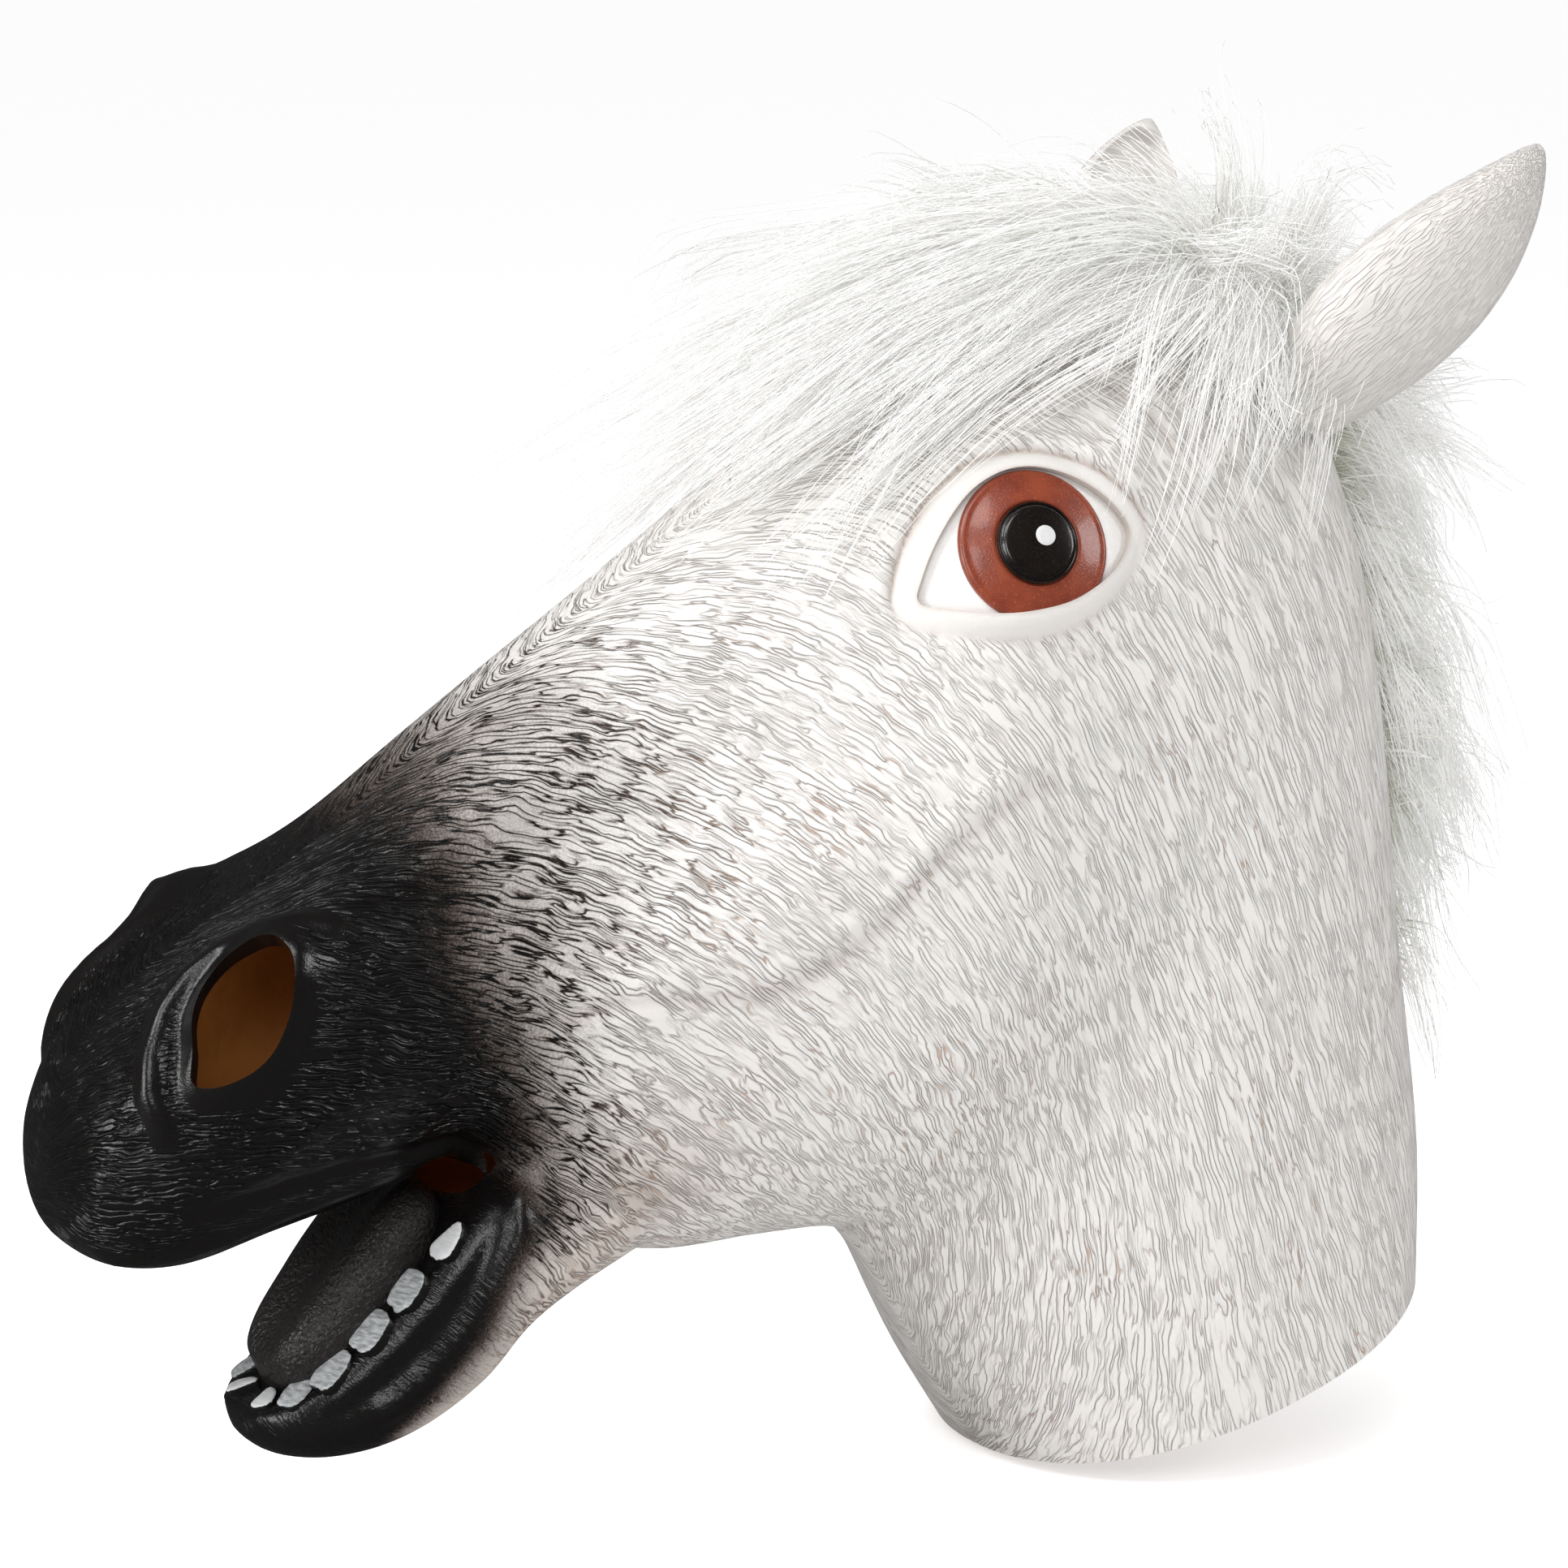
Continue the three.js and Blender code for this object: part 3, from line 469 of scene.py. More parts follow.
def body_rings(body, count, sides, out=0.0, start=0.0, end=1.0):
    at = np.linspace(start, end, count)[:, None]
    angle = np.linspace(0, 360, sides, endpoint=False)[None, :]
    at, angle = np.broadcast_arrays(at, angle)
    return skin(body, at, angle, out(at, angle) if callable(out) else out)


def past_hem(rings, length):
    step = unit(rings[-1] - rings[-2]) * length
    return np.concatenate([rings, (rings[-1] + step)[None]])


def wall(at, angle):
    """Depth of the inside under the outside: the wall, and 4 mm more behind the lids and the nostrils."""
    eye = swelling(at, angle, *EYE_PLACE, 0.07, 24)
    nostril = swelling(at, angle, *NOSTRIL_PLACE, 0.08, 40)
    return -WALL - 4 * eye - 4 * nostril


def upper_lid(flat):
    """1 at the upper lid, 0 at the lower one."""
    return smooth_step(flat[:, 1] + 0.15 * flat[:, 0], -9, 3)


def near_seat(place, points, long, wide, deep):
    """Which points are near a seat, and where those are in its own axes."""
    local = in_seat(place, points)
    near = (np.abs(local[:, 0]) < long) & (np.abs(local[:, 1]) < wide) & (local[:, 2] > -deep)
    return near, local[near]


def shape_eye(points):
    """Raises the lids: smooth bands that lie on the eyeball and end in a crease."""
    near, local = near_seat(EYE_SEAT, points, 75, 65, 45)
    flat = local[:, :2]
    gap = signed_distance(flat, EYE_OPENING)
    upper = upper_lid(flat)
    # The dome of the ball ends a little outside its opening
    radius = np.minimum(np.hypot(flat[:, 0], flat[:, 1]), 42)
    top = dome_height(radius) + LID_THICK + 0.8 * upper
    roll = np.clip(gap / LID_BAND, 0, 1)
    lift = np.maximum(top - local[:, 2], LID_LEAST) * (1 - roll ** 3) * (gap < LID_BAND)
    # A crease follows the band, deeper over the eye, and a soft fold follows the crease there
    crease = hump(gap - LID_BAND - 0.8, 1.3)
    lift -= 1.7 * crease * upper + 0.4 * crease * (1 - upper)
    lift += 1.6 * hump(gap - LID_BAND - 6, 4.0) * upper
    points[near] += EYE_SEAT[3] * lift[:, None]


def shape_nostril(points):
    """Raises the rolled rim round the nostril, with a bowl between it and the opening."""
    near, local = near_seat(NOSTRIL_SEAT, points, 80, 60, 40)
    flat = local[:, :2]
    gap = signed_distance(flat, NOSTRIL_OPENING)
    ridge, share = line_distance(flat, NOSTRIL_RIDGE)
    front = smooth_step(flat[:, 1] - 0.7 * flat[:, 0], -8, 12)
    # The rim's roll fades at its ends
    lift = 5.2 * hump(ridge, 4.6) * np.sin(np.pi * np.clip(0.08 + 0.84 * share, 0, 1)) ** 0.6
    # The bowl in front, and a raised edge with a hollow round it behind
    lift -= 2.2 * hump(gap - 4, 5) * front
    lift += 2.6 * hump(gap - 2, 5) * (1 - front)
    lift -= 2.0 * hump(gap - 14, 6) * (1 - front)
    points[near] += NOSTRIL_SEAT[3] * lift[:, None]


def shape_lines(points, normals):
    for line, half, height in FACE_LINES + LIP_LINES:
        for side in (1, -1):
            run = line * (side, 1, 1)
            low, high = run.min(0) - 12, run.max(0) + 12
            near = np.all((points > low) & (points < high), axis=1)
            gap, share = line_distance(points[near], run)
            fade = smooth_step(share, 0, 0.15) * smooth_step(1 - share, 0, 0.15)
            points[near] += normals[near] * (height * hump(gap, half) * fade)[:, None]


def refine(obj, near):
    """Splits the faces in chosen places, for finer forms there."""
    chosen = near(read_points(obj))
    edit(
        obj,
        lambda: bpy.ops.mesh.select_mode(type="VERT"),
        lambda: bpy.ops.mesh.select_all(action="DESELECT"),
    )
    obj.data.vertices.foreach_set("select", chosen)
    choose(obj)
    bpy.ops.object.mode_set(mode="EDIT")
    bpy.ops.mesh.select_mode(type="FACE")
    bpy.ops.mesh.subdivide(number_cuts=1)
    bpy.ops.object.mode_set(mode="OBJECT")


def fine_places(points):
    """Where the eyes and the nostrils are."""
    left = on_left(points)
    eye, nostril = in_seat(EYE_SEAT, left), in_seat(NOSTRIL_SEAT, left)
    at_eye = (np.hypot(eye[:, 0], eye[:, 1]) < 52) & (np.abs(eye[:, 2]) < 30)
    at_nostril = (np.hypot(nostril[:, 0], nostril[:, 1]) < 46) & (np.abs(nostril[:, 2]) < 24)
    return at_eye | at_nostril


def latex_head():
    """The hollow head, and a coarse copy of its outside that the hairs' lie is worked out on."""
    outer = wrap("latex_skin", past_hem(body_rings(HEAD, 260, 160), 12))
    outer = join("latex_skin", outer, wrap("jaw_form", body_rings(JAW, 110, 110)))
    remesh(outer, SKIN_VOXEL, 3)
    form = copy(outer, "hair_form")
    remesh(form, FORM_VOXEL, 3)
    refine(outer, fine_places)
    soften(outer, 2)
    points, normals = read_points(outer), read_normals(outer)
    shape_lines(points, normals)
    for side in (1, -1):
        flipped = points * (side, 1, 1)
        shape_eye(flipped)
        shape_nostril(flipped)
        points = flipped * (side, 1, 1)
    write_points(outer, points)
    soften(outer, 1, 0.35)
    inner = wrap("inside", past_hem(body_rings(HEAD, 120, 72, wall, 0.014), 30))
    inner = join("inside", inner, wrap("jaw_inside", body_rings(JAW, 40, 44, -WALL, 0.03, 0.97)))
    remesh(inner, INSIDE_VOXEL, 2)
    eye_hole = prism("eye_hole_left", EYE_SEAT, EYE_OPENING, -16, 22)
    nostril_hole = prism("nostril_hole_left", NOSTRIL_SEAT, NOSTRIL_OPENING, -20, 20)
    half_width, half_height, middle, ends = MOUTH_HOLE
    turn = ring_angles(48)
    oval = np.column_stack([half_width * np.cos(turn), half_height * np.sin(turn) + middle])
    mouth_hole = wrap("mouth_hole", np.stack([np.insert(oval, 1, y, axis=1) for y in ends]))
    tools = (inner, eye_hole, mirrored(eye_hole), nostril_hole, mirrored(nostril_hole), mouth_hole)
    for obj in (outer, *tools):
        paint(obj, painted_latex, amber_latex)
    inner.data.polygons.foreach_set("material_index", np.ones(len(inner.data.polygons), int))
    cut(outer, *tools)
    # The hem is cut straight
    front = Vector((0, *HEM_FRONT)) * MM
    down = (Vector((0, *HEM_BACK)) * MM - front).cross(Vector((1, 0, 0))).normalized()
    edit(outer, lambda: bpy.ops.mesh.bisect(plane_co=front, plane_no=down, use_fill=True, clear_outer=True))
    return outer, form


# Which way the sculpted hairs lie, seen from the side: y in mm and degrees below level
FLOW = np.array([
    (-390, -4), (-330, 3), (-302, 8), (-255, 18), (-210, 30), (-152, 35), (-111, 49), (-66, 64), (-4, 75),
    (42, 84), (120, 88),
])


def hair_flow(points, normals):
    """Unit vectors along the sculpted hairs."""
    side, y, z = np.sign(points[:, 0]), points[:, 1], points[:, 2]
    lie = np.interp(y, FLOW[:, 0], FLOW[:, 1])
    # Steeper at the jowl and at the jaw
    lie += 16 * smooth_step(-z, 270, 370) * smooth_step(y, -215, -150) * (1 - smooth_step(y, -60, 20))
    lie += 35 * smooth_step(-z, 285, 345) * (1 - smooth_step(y, -260, -215))
    lie = np.radians(lie)
    flow = np.column_stack([np.zeros(len(y)), np.cos(lie), -np.sin(lie)])
    # Outward on the crown, and parted from the middle on the bridge of the nose
    flow[:, 0] += 0.12 * side * smooth_step(z, -60, 0)
    flow[:, 0] += 0.55 * side * smooth_step(-y, 110, 190) * smooth_step(normals[:, 2], 0.2, 0.9)
    flow[:, 1] += 0.05
    flow -= normals * np.sum(flow * normals, axis=1)[:, None]
    return unit(flow)


def lay_field(points, edges, along, steps=700):
    """Numbers in mm whose slope over the mesh follows a field of directions, by conjugate gradients."""
    start, end = edges.T
    count = len(points)
    want = np.sum((points[end] - points[start]) * (along[start] + along[end]) / 2, axis=1)

    def gather(flow):
        return np.bincount(end, flow, count) - np.bincount(start, flow, count)

    field = np.zeros(count)
    left = gather(want)
    way = left.copy()
    size = left @ left
    for _ in range(steps):
        pull = gather(way[end] - way[start])
        share = size / (way @ pull)
        field += share * way
        left -= share * pull
        new_size = left @ left
        way = left + new_size / size * way
        size = new_size
    return field


def hair_lay(form, points):
    """How far along and across the hairs each point is, in mm, read from the nearest points of the form."""
    corners, normals = read_points(form), read_normals(form)
    edges = read(form.data.edges, "vertices", int, 2)
    flow = hair_flow(corners, normals)
    across = np.cross(normals, flow) * np.where(corners[:, :1] < 0, -1, 1)
    fields = np.column_stack([lay_field(corners, edges, way) for way in (flow, across)])
    tree = KDTree(len(corners))
    for i, corner in enumerate(corners):
        tree.insert(corner, i)
    tree.balance()
    lay = np.empty((len(points), 2))
    for i, point in enumerate(points):
        found = tree.find_n(point, 6)
        weights = [math.exp(-(near[2] / 4) ** 2) + 1e-9 for near in found]
        lay[i] = np.average(fields[[near[1] for near in found]], axis=0, weights=weights)
    return np.column_stack([lay, points[:, 0]])


# Where the black paint ends: z in mm, the y of its edge, and half the width over which it fades
PAINT_EDGE = np.array([
    (-400, -274, 12), (-355, -274, 12), (-344, -262, 14), (-326, -249, 14), (-303, -241, 14),
    (-286, -224, 18), (-260, -226, 22), (-233, -235, 26), (-205, -241, 32), (-180, -240, 44),
    (-157, -246, 56), (-60, -246, 60),
])


def finish_maps(obj, form):
    """Keeps what the latex's materials need at each point: how the hairs lie, where paint is, and where tan
    and painted shade go.
    """
    points = read_points(obj)
    write_attribute(obj, "hair_lay", hair_lay(form, points))
    bpy.data.objects.remove(form)
    y, z = points[:, 1], points[:, 2]
    edge, half = (np.interp(z, PAINT_EDGE[:, 0], PAINT_EDGE[:, k]) for k in (1, 2))
    write_attribute(obj, "black_paint", 0.5 - (y - edge) / half / 2)
    write_attribute(obj, "deep", 1 - smooth_step(y, -250, -120))
    left = on_left(points)
    eye, nostril = in_seat(EYE_SEAT, left), in_seat(NOSTRIL_SEAT, left)
    at_eye, at_nostril = np.abs(eye[:, 2]) < 40, np.abs(nostril[:, 2]) < 30
    eye_gap = np.where(at_eye, signed_distance(eye[:, :2], EYE_OPENING), 99)
    nostril_gap = np.where(at_nostril, signed_distance(nostril[:, :2], NOSTRIL_OPENING), 99)
    ridge = np.where(at_nostril, line_distance(nostril[:, :2], NOSTRIL_RIDGE)[0], 99)
    # Bare of hairs: the lids, the nostrils' rims, the mouth and the lips
    lid = 1 - smooth_step(eye_gap, LID_BAND, LID_BAND + 2.5)
    rim = np.maximum(1 - smooth_step(nostril_gap, 4, 10), 1 - smooth_step(ridge, 4, 7))
    mouth = smooth_step(-z, 262, 276) * (1 - smooth_step(y, -250, -226)) * smooth_step(y, -372, -340)
    sleek = np.maximum.reduce([lid, rim, 0.85 * mouth])
    for line, _, _ in LIP_LINES:
        sleek = np.maximum(sleek, 1 - smooth_step(line_distance(left, line)[0], 3, 9))
    write_attribute(obj, "sleek", sleek)
    # A tan behind the black's edge low at the jaw, and painted shade in tan in the deep folds, in the lids'
    # crease and round the ball's edge
    tan_and_shade = 0.8 * hump(y - edge - half - 6, 26) * smooth_step(-z, 225, 300)
    for line, _, height in FACE_LINES:
        if height < -1:
            tan_and_shade = np.maximum(tan_and_shade, 0.55 * hump(line_distance(left, line)[0], 2.2))
    tan_and_shade = np.maximum(tan_and_shade, (0.3 + 0.5 * upper_lid(eye)) * hump(eye_gap - LID_BAND - 0.9, 1.1))
    tan_and_shade = np.maximum(tan_and_shade, 0.7 * hump(eye_gap + 0.2, 0.9))
    write_attribute(obj, "tan_and_crease_shade", tan_and_shade)


# Materials

# Settings of nodes that are used often
MULTIPLY = {"operation": "MULTIPLY"}
MULTIPLY_ADD = {"operation": "MULTIPLY_ADD"}
SMOOTH = {"interpolation_type": "SMOOTHSTEP"}
COLOUR = {"data_type": "RGBA", "out": 2}


def linear(code):
    """An sRGB hex colour as a linear one."""
    parts = [int(code[i:i + 2], 16) / 255 for i in (1, 3, 5)]
    return [p / 12.92 if p <= 0.04045 else ((p + 0.055) / 1.055) ** 2.4 for p in parts] + [1.0]


def node(tree, kind, inputs=(), out=0, **settings):
    """Adds a node with its settings, and inputs by name or in order, and gives one of its outputs."""
    made = tree.nodes.new("ShaderNode" + kind)
    for key, value in settings.items():
        setattr(made, key, value)
    for key, value in inputs.items() if isinstance(inputs, dict) else enumerate(inputs):
        if isinstance(value, bpy.types.NodeSocket):
            tree.links.new(value, made.inputs[key])
        else:
            made.inputs[key].default_value = linear(value) if isinstance(value, str) else value
    return made.outputs[out] if made.outputs else made


def material(name, surface, *values):
    """A material, from the function that gives what its surface's shader takes."""
    finish = bpy.data.materials.new(name)
    finish.use_nodes = True
    finish.node_tree.nodes.clear()
    add = partial(node, finish.node_tree)
    add("OutputMaterial", {"Surface": add("BsdfPrincipled", surface(add, *values))})
    return finish


def hair_relief(add, lay, width, sleek, detail):
    """Grooves and round ridges of hairs: a thin groove wherever stretched noise is near its mean."""
    ripple = add("TexNoise", {"Vector": lay, "Scale": 1.0, "Detail": detail})
    ridge = add("Math", (ripple, -0.5))
    ridge = add("Math", (ridge,), operation="ABSOLUTE")
    groove = add("MapRange", (ridge, width, 0.0), **SMOOTH)
    crest = add("MapRange", (ridge, 0.0, 0.13), **SMOOTH)
    bare = add("MapRange", (sleek, 0.0, 1.0, 1.0, 0.0))
    return [add("Math", (part, bare), **MULTIPLY) for part in (groove, crest)]


# Cast natural latex, sprayed satin white over hairs sculpted in the mould, its muzzle sprayed gloss
# black: the grooves hold dark paint where the black fades out, and painted shade in tan darkens the creases
def sprayed_latex(add):
    place = add("TexCoord", out="Object")
    maps = ("black_paint", "sleek", "deep", "tan_and_crease_shade")
    black, sleek, deep, tan_and_shade = (add("Attribute", out="Fac", attribute_name=name) for name in maps)
    # The hairs waver, up to 6 mm along them and 1.3 mm across
    waver = add("TexNoise", {"Vector": place, "Scale": 65.0, "Detail": 1.0}, "Color")
    waver = add("VectorMath", (waver, (-0.5, -0.5, -0.5)))
    waver = add("VectorMath", (waver, (12.0, 2.5, 40.0)), **MULTIPLY)
    lay = add("Attribute", out="Vector", attribute_name="hair_lay")
    lay = add("VectorMath", (lay, waver))
    # Hairs about 18 mm long and 1.5 mm across, with wider grooves on the nose
    long_lay = add("VectorMath", (lay, (1 / 18, 1 / 1.5, 1 / 26)), **MULTIPLY)
    width = add("MapRange", (deep, 0.0, 1.0, 0.035, 0.06))
    groove, crest = hair_relief(add, long_lay, width, sleek, 1.0)
    # Each groove is deep for a few mm and then runs out
    breaks_lay = add("VectorMath", (lay, (1 / 11, 1 / 3, 1 / 20)), **MULTIPLY)
    breaks = add("TexNoise", {"Vector": breaks_lay, "Scale": 1.0, "Detail": 0.0})
    breaks = add("Math", (deep, 0.1, breaks), **MULTIPLY_ADD)
    breaks = add("MapRange", (breaks, 0.36, 0.6, 0.3, 1.0), **SMOOTH)
    groove = add("Math", (groove, breaks), **MULTIPLY)
    # Colour: white, with painted shade in the grooves and painted shade in tan in the creases
    cloud = add("TexNoise", {"Vector": place, "Scale": 22.0, "Detail": 4.0})
    speck = add("TexNoise", {"Vector": place, "Scale": 1400.0})
    white = add("Mix", {"Factor": cloud, 6: "#e3dfdb", 7: "#ebe8e5"}, **COLOUR)
    warm = add("MapRange", (cloud, 0.47, 0.62))
    # Painted shade: the grooves are darkened, grey-brown, and tan where the cloud is warm
    groove_shade_tone = add("Mix", {"Factor": warm, 6: "#b3a9a1", 7: "#a98062"}, **COLOUR)
    groove_shade = add("MapRange", (warm, 0.0, 1.0, 0.3, 0.7))
    groove_shade = add("Math", (groove, groove_shade), **MULTIPLY)
    white = add("Mix", {"Factor": groove_shade, 6: white, 7: groove_shade_tone}, **COLOUR)
    # Painted shade in tan in the creases and round the lids, deepest in the grooves, and the tan behind the
    # black's edge at the jaw
    shade_in_tan = add("MapRange", (groove, 0.0, 1.0, 0.5, 0.95))
    shade_in_tan = add("Math", (shade_in_tan, tan_and_shade), **MULTIPLY)
    white = add("Mix", {"Factor": shade_in_tan, 6: white, 7: "#99785f"}, **COLOUR)
    # The black: a soft mist at its edge, and further out in the grooves alone
    rank = add("Math", (groove, 0.6, black), **MULTIPLY_ADD)
    rank = add("Math", (speck, 0.45, rank), **MULTIPLY_ADD)
    rank = add("Math", (cloud, 0.5, rank), **MULTIPLY_ADD)
    mist = add("MapRange", (rank, 0.44, 1.36), **SMOOTH)
    solid = add("MapRange", (rank, 0.95, 1.45), **SMOOTH)
    colour = add("Mix", {"Factor": mist, 6: white, 7: "#5a4b42"}, **COLOUR)
    ink = add("Mix", {"Factor": speck, 6: "#0b0a0a", 7: "#161413"}, **COLOUR)
    colour = add("Mix", {"Factor": solid, 6: colour, 7: ink}, **COLOUR)
    # Relief: high ridges on the nose and lower ones behind, with a fine grain
    depth = add("MapRange", (deep, 0.0, 1.0, 0.5, 0.8))
    crest = add("Math", (crest, depth), **MULTIPLY)
    height = add("Math", (groove, -0.45, crest), **MULTIPLY_ADD)
    height = add("Math", (speck, 0.12, height), **MULTIPLY_ADD)
    bump = add("Bump", {"Distance": 0.9 * MM, "Height": height})
    satin = add("MapRange", (solid, 0.0, 1.0, 0.5, 0.23))
    return {"Base Color": colour, "Roughness": satin, "Normal": bump}


# The bare inside of the casting: cured natural latex, amber, with a dull rippled skin
def cured_latex(add):
    place = add("TexCoord", out="Object")
    cloud = add("TexNoise", {"Vector": place, "Scale": 30.0, "Detail": 4.0})
    colour = add("Mix", {"Factor": cloud, 6: "#b06826", 7: "#d08c3e"}, **COLOUR)
    ripple = add("TexNoise", {"Vector": place, "Scale": 220.0, "Detail": 3.0})
    bump = add("Bump", {"Strength": 0.5, "Distance": 0.6 * MM, "Height": ripple})
    return {"Base Color": colour, "Roughness": 0.55, "Normal": bump}


# The ears' latex: satin white, with fine hairs along them and painted shade, tan-grey, in the grooves
def ear_skin(add):
    place = add("TexCoord", out="Object")
    sleek = add("Attribute", out="Fac", attribute_name="sleek")
    lay = add("Attribute", out="Vector", attribute_name="ear_lay")
    waver = add("TexNoise", {"Vector": place, "Scale": 60.0, "Detail": 1.0}, "Color")
    waver = add("VectorMath", (waver, (4.0, 4.0, 8.0)), **MULTIPLY)
    lay = add("VectorMath", (lay, waver))
    # Hairs about 15 mm long and 1.8 mm across
    lay = add("VectorMath", (lay, (1 / 1.8, 1 / 1.8, 1 / 15)), **MULTIPLY)
    groove, crest = hair_relief(add, lay, 0.035, sleek, 1.2)
    cloud = add("TexNoise", {"Vector": place, "Scale": 30.0, "Detail": 3.0})
    white = add("Mix", {"Factor": cloud, 6: "#dad6d2", 7: "#e3e0dd"}, **COLOUR)
    # Painted shade: the grooves are darkened, tan-grey
    groove_shade = add("MapRange", (cloud, 0.4, 0.65, 0.12, 0.45))
    groove_shade = add("Math", (groove, groove_shade), **MULTIPLY)
    white = add("Mix", {"Factor": groove_shade, 6: white, 7: "#b5a08f"}, **COLOUR)
    # Painted shade: the inside of the cup, bare of hairs, is a little greyer
    shade = add("Math", (sleek, 0.25), **MULTIPLY)
    white = add("Mix", {"Factor": shade, 6: white, 7: "#cbc4bf"}, **COLOUR)
    bump = add("Bump", {"Distance": 0.45 * MM, "Height": crest})
    return {"Base Color": white, "Roughness": 0.5, "Normal": bump}


# Gloss black paint over latex with a pebbled grain about 1.5 mm across, as on the tongue
def pebbled_latex(add):
    place = add("TexCoord", out="Object")
    grain = add("TexNoise", {"Vector": place, "Scale": 620.0, "Distortion": 0.6})
    cloud = add("TexNoise", {"Vector": place, "Scale": 60.0, "Detail": 3.0})
    colour = add("Mix", {"Factor": cloud, 6: "#1a1817", 7: "#2e2a28"}, **COLOUR)
    bump = add("Bump", {"Distance": 1.1 * MM, "Height": grain})
    return {"Base Color": colour, "Roughness": 0.34, "Normal": bump}


# Brushed and rubbed paints on small raised parts: a colour, with clouds, flecks and a fine grain
def rubbed_paint(add, dark, light, fleck, roughness, relief, coat=0.0, flecks=0.56):
    place = add("TexCoord", out="Object")
    cloud = add("TexNoise", {"Vector": place, "Scale": 130.0, "Detail": 4.0, "Roughness": 0.6})
    cloud = add("MapRange", (cloud, 0.3, 0.7))
    colour = add("Mix", {"Factor": cloud, 6: dark, 7: light}, **COLOUR)
    grain = add("TexNoise", {"Vector": place, "Scale": 1500.0})
    bright = add("MapRange", (grain, flecks, flecks + 0.2))
    colour = add("Mix", {"Factor": bright, 6: colour, 7: fleck}, **COLOUR)
    bump = add("Bump", {"Strength": 0.7, "Distance": relief * MM, "Height": grain})
    gloss = {"Roughness": roughness, "Coat Weight": coat, "Coat Roughness": 0.12}
    return {"Base Color": colour, "Normal": bump, **gloss}


# Silver paint brushed in one stroke over the tops of the black teeth, thin and ragged at its edge
def brushed_silver(add):
    place = add("TexCoord", out="Object")
    painted = add("Attribute", out="Fac", attribute_name="painted")
    pale = add("Attribute", out="Fac", attribute_name="pale")
    strokes = add("VectorMath", (place, (0.7, 0.5, 3.0)), **MULTIPLY)
    strokes = add("TexNoise", {"Vector": strokes, "Scale": 420.0, "Detail": 3.0})
    ragged = add("TexNoise", {"Vector": place, "Scale": 700.0, "Detail": 1.0})
    reach = add("Math", (ragged, 0.9, painted), **MULTIPLY_ADD)
    cover = add("MapRange", (reach, 0.85, 0.95))
    streak = add("MapRange", (strokes, 0.35, 0.65))
    silver = add("Mix", {"Factor": streak, 6: "#808385", 7: "#b9bbbc"}, **COLOUR)
    lighter = add("Math", (pale, 0.65), **MULTIPLY)
    silver = add("Mix", {"Factor": lighter, 6: silver, 7: "#e6e6e7"}, **COLOUR)
    colour = add("Mix", {"Factor": cover, 6: "#121110", 7: silver}, **COLOUR)
    relief = add("Math", (cover, strokes))
    bump = add("Bump", {"Strength": 0.8, "Distance": 0.25 * MM, "Height": relief})
    return {"Base Color": colour, "Roughness": 0.36, "Normal": bump}


# Long acrylic pile: fine white strands, grey-green at the roots, with a soft sheen. Light scatters on
# from strand to strand more often than is traced, and a little light of their own stands in for that
def acrylic_pile(add):
    along = add("Attribute", out="Fac", attribute_name="along")
    tone = add("Attribute", out="Fac", attribute_name="tone")
    body = add("Mix", {"Factor": tone, 6: "#f0f0ee", 7: "#fbfaf9"}, **COLOUR)
    root = add("Mix", {"Factor": tone, 6: "#b9baa9", 7: "#dfe0d4"}, **COLOUR)
    rise = add("MapRange", (along, 0.05, 0.42), **SMOOTH)
    colour = add("Mix", {"Factor": rise, 6: root, 7: body}, **COLOUR)
    sheen = {"Roughness": 0.5, "Sheen Weight": 0.3, "Sheen Roughness": 0.4}
    return {"Base Color": colour, "Emission Color": colour, "Emission Strength": 0.13, **sheen}


painted_latex = material("painted_cast_latex", sprayed_latex)
amber_latex = material("bare_cured_latex", cured_latex)
ear_latex = material("white_ear_latex", ear_skin)
black_latex = material("gloss_black_latex", pebbled_latex)
eye_paint = material("off_white_eye_paint", rubbed_paint, "#e9e7e4", "#f2f0ee", "#f6f5f3", 0.4, 0.25)
iris_paint = material("copper_brown_paint", rubbed_paint, "#763120", "#92432a", "#b0603e", 0.3, 0.2, 0.4, 0.6)
pupil_paint = material("gloss_black_paint", rubbed_paint, "#0d0a08", "#17110e", "#2c241f", 0.22, 0.06, 0.3)
glint_paint = material("pale_grey_paint", rubbed_paint, "#d0d0d0", "#d8d8d8", "#dedede", 0.4, 0.05)
tooth_paint = material("silver_paint_on_black", brushed_silver)
fur_pile = material("white_acrylic_pile", acrylic_pile)


head, hair_form = latex_head()
finish_maps(head, hair_form)
dress(head, None, 50, "latex_head")


# Eyes

# Radius of the ball's edge and height of its flat back, and the radius at which a profile closes
BALL_EDGE = 46
BALL_BACK = -9
AXIS = 0.02


def turned(name, profile):
    """A solid turned from radii and heights, on the left eye's seat."""
    a = ring_angles(96)
    rings = [np.column_stack([r * np.cos(a), r * np.sin(a), np.full(96, h)]) for r, h in profile]
    return wrap(name, np.stack([from_seat(EYE_SEAT, ring) for ring in rings]))


def on_dome(*parts):
    """A profile of radii and heights, from radii and how far they stand over the eyeball."""
    return [(r, float(dome_height(r)) + lift) for radii, lift in parts for r in np.atleast_1d(radii)]


def within_lids(form, gap):
    """Cuts a form to the eye's opening, moved out by a gap."""
    cut(form, prism("lid_line", EYE_SEAT, grown(EYE_OPENING, gap), -30, 30), operation="INTERSECT")
    return form


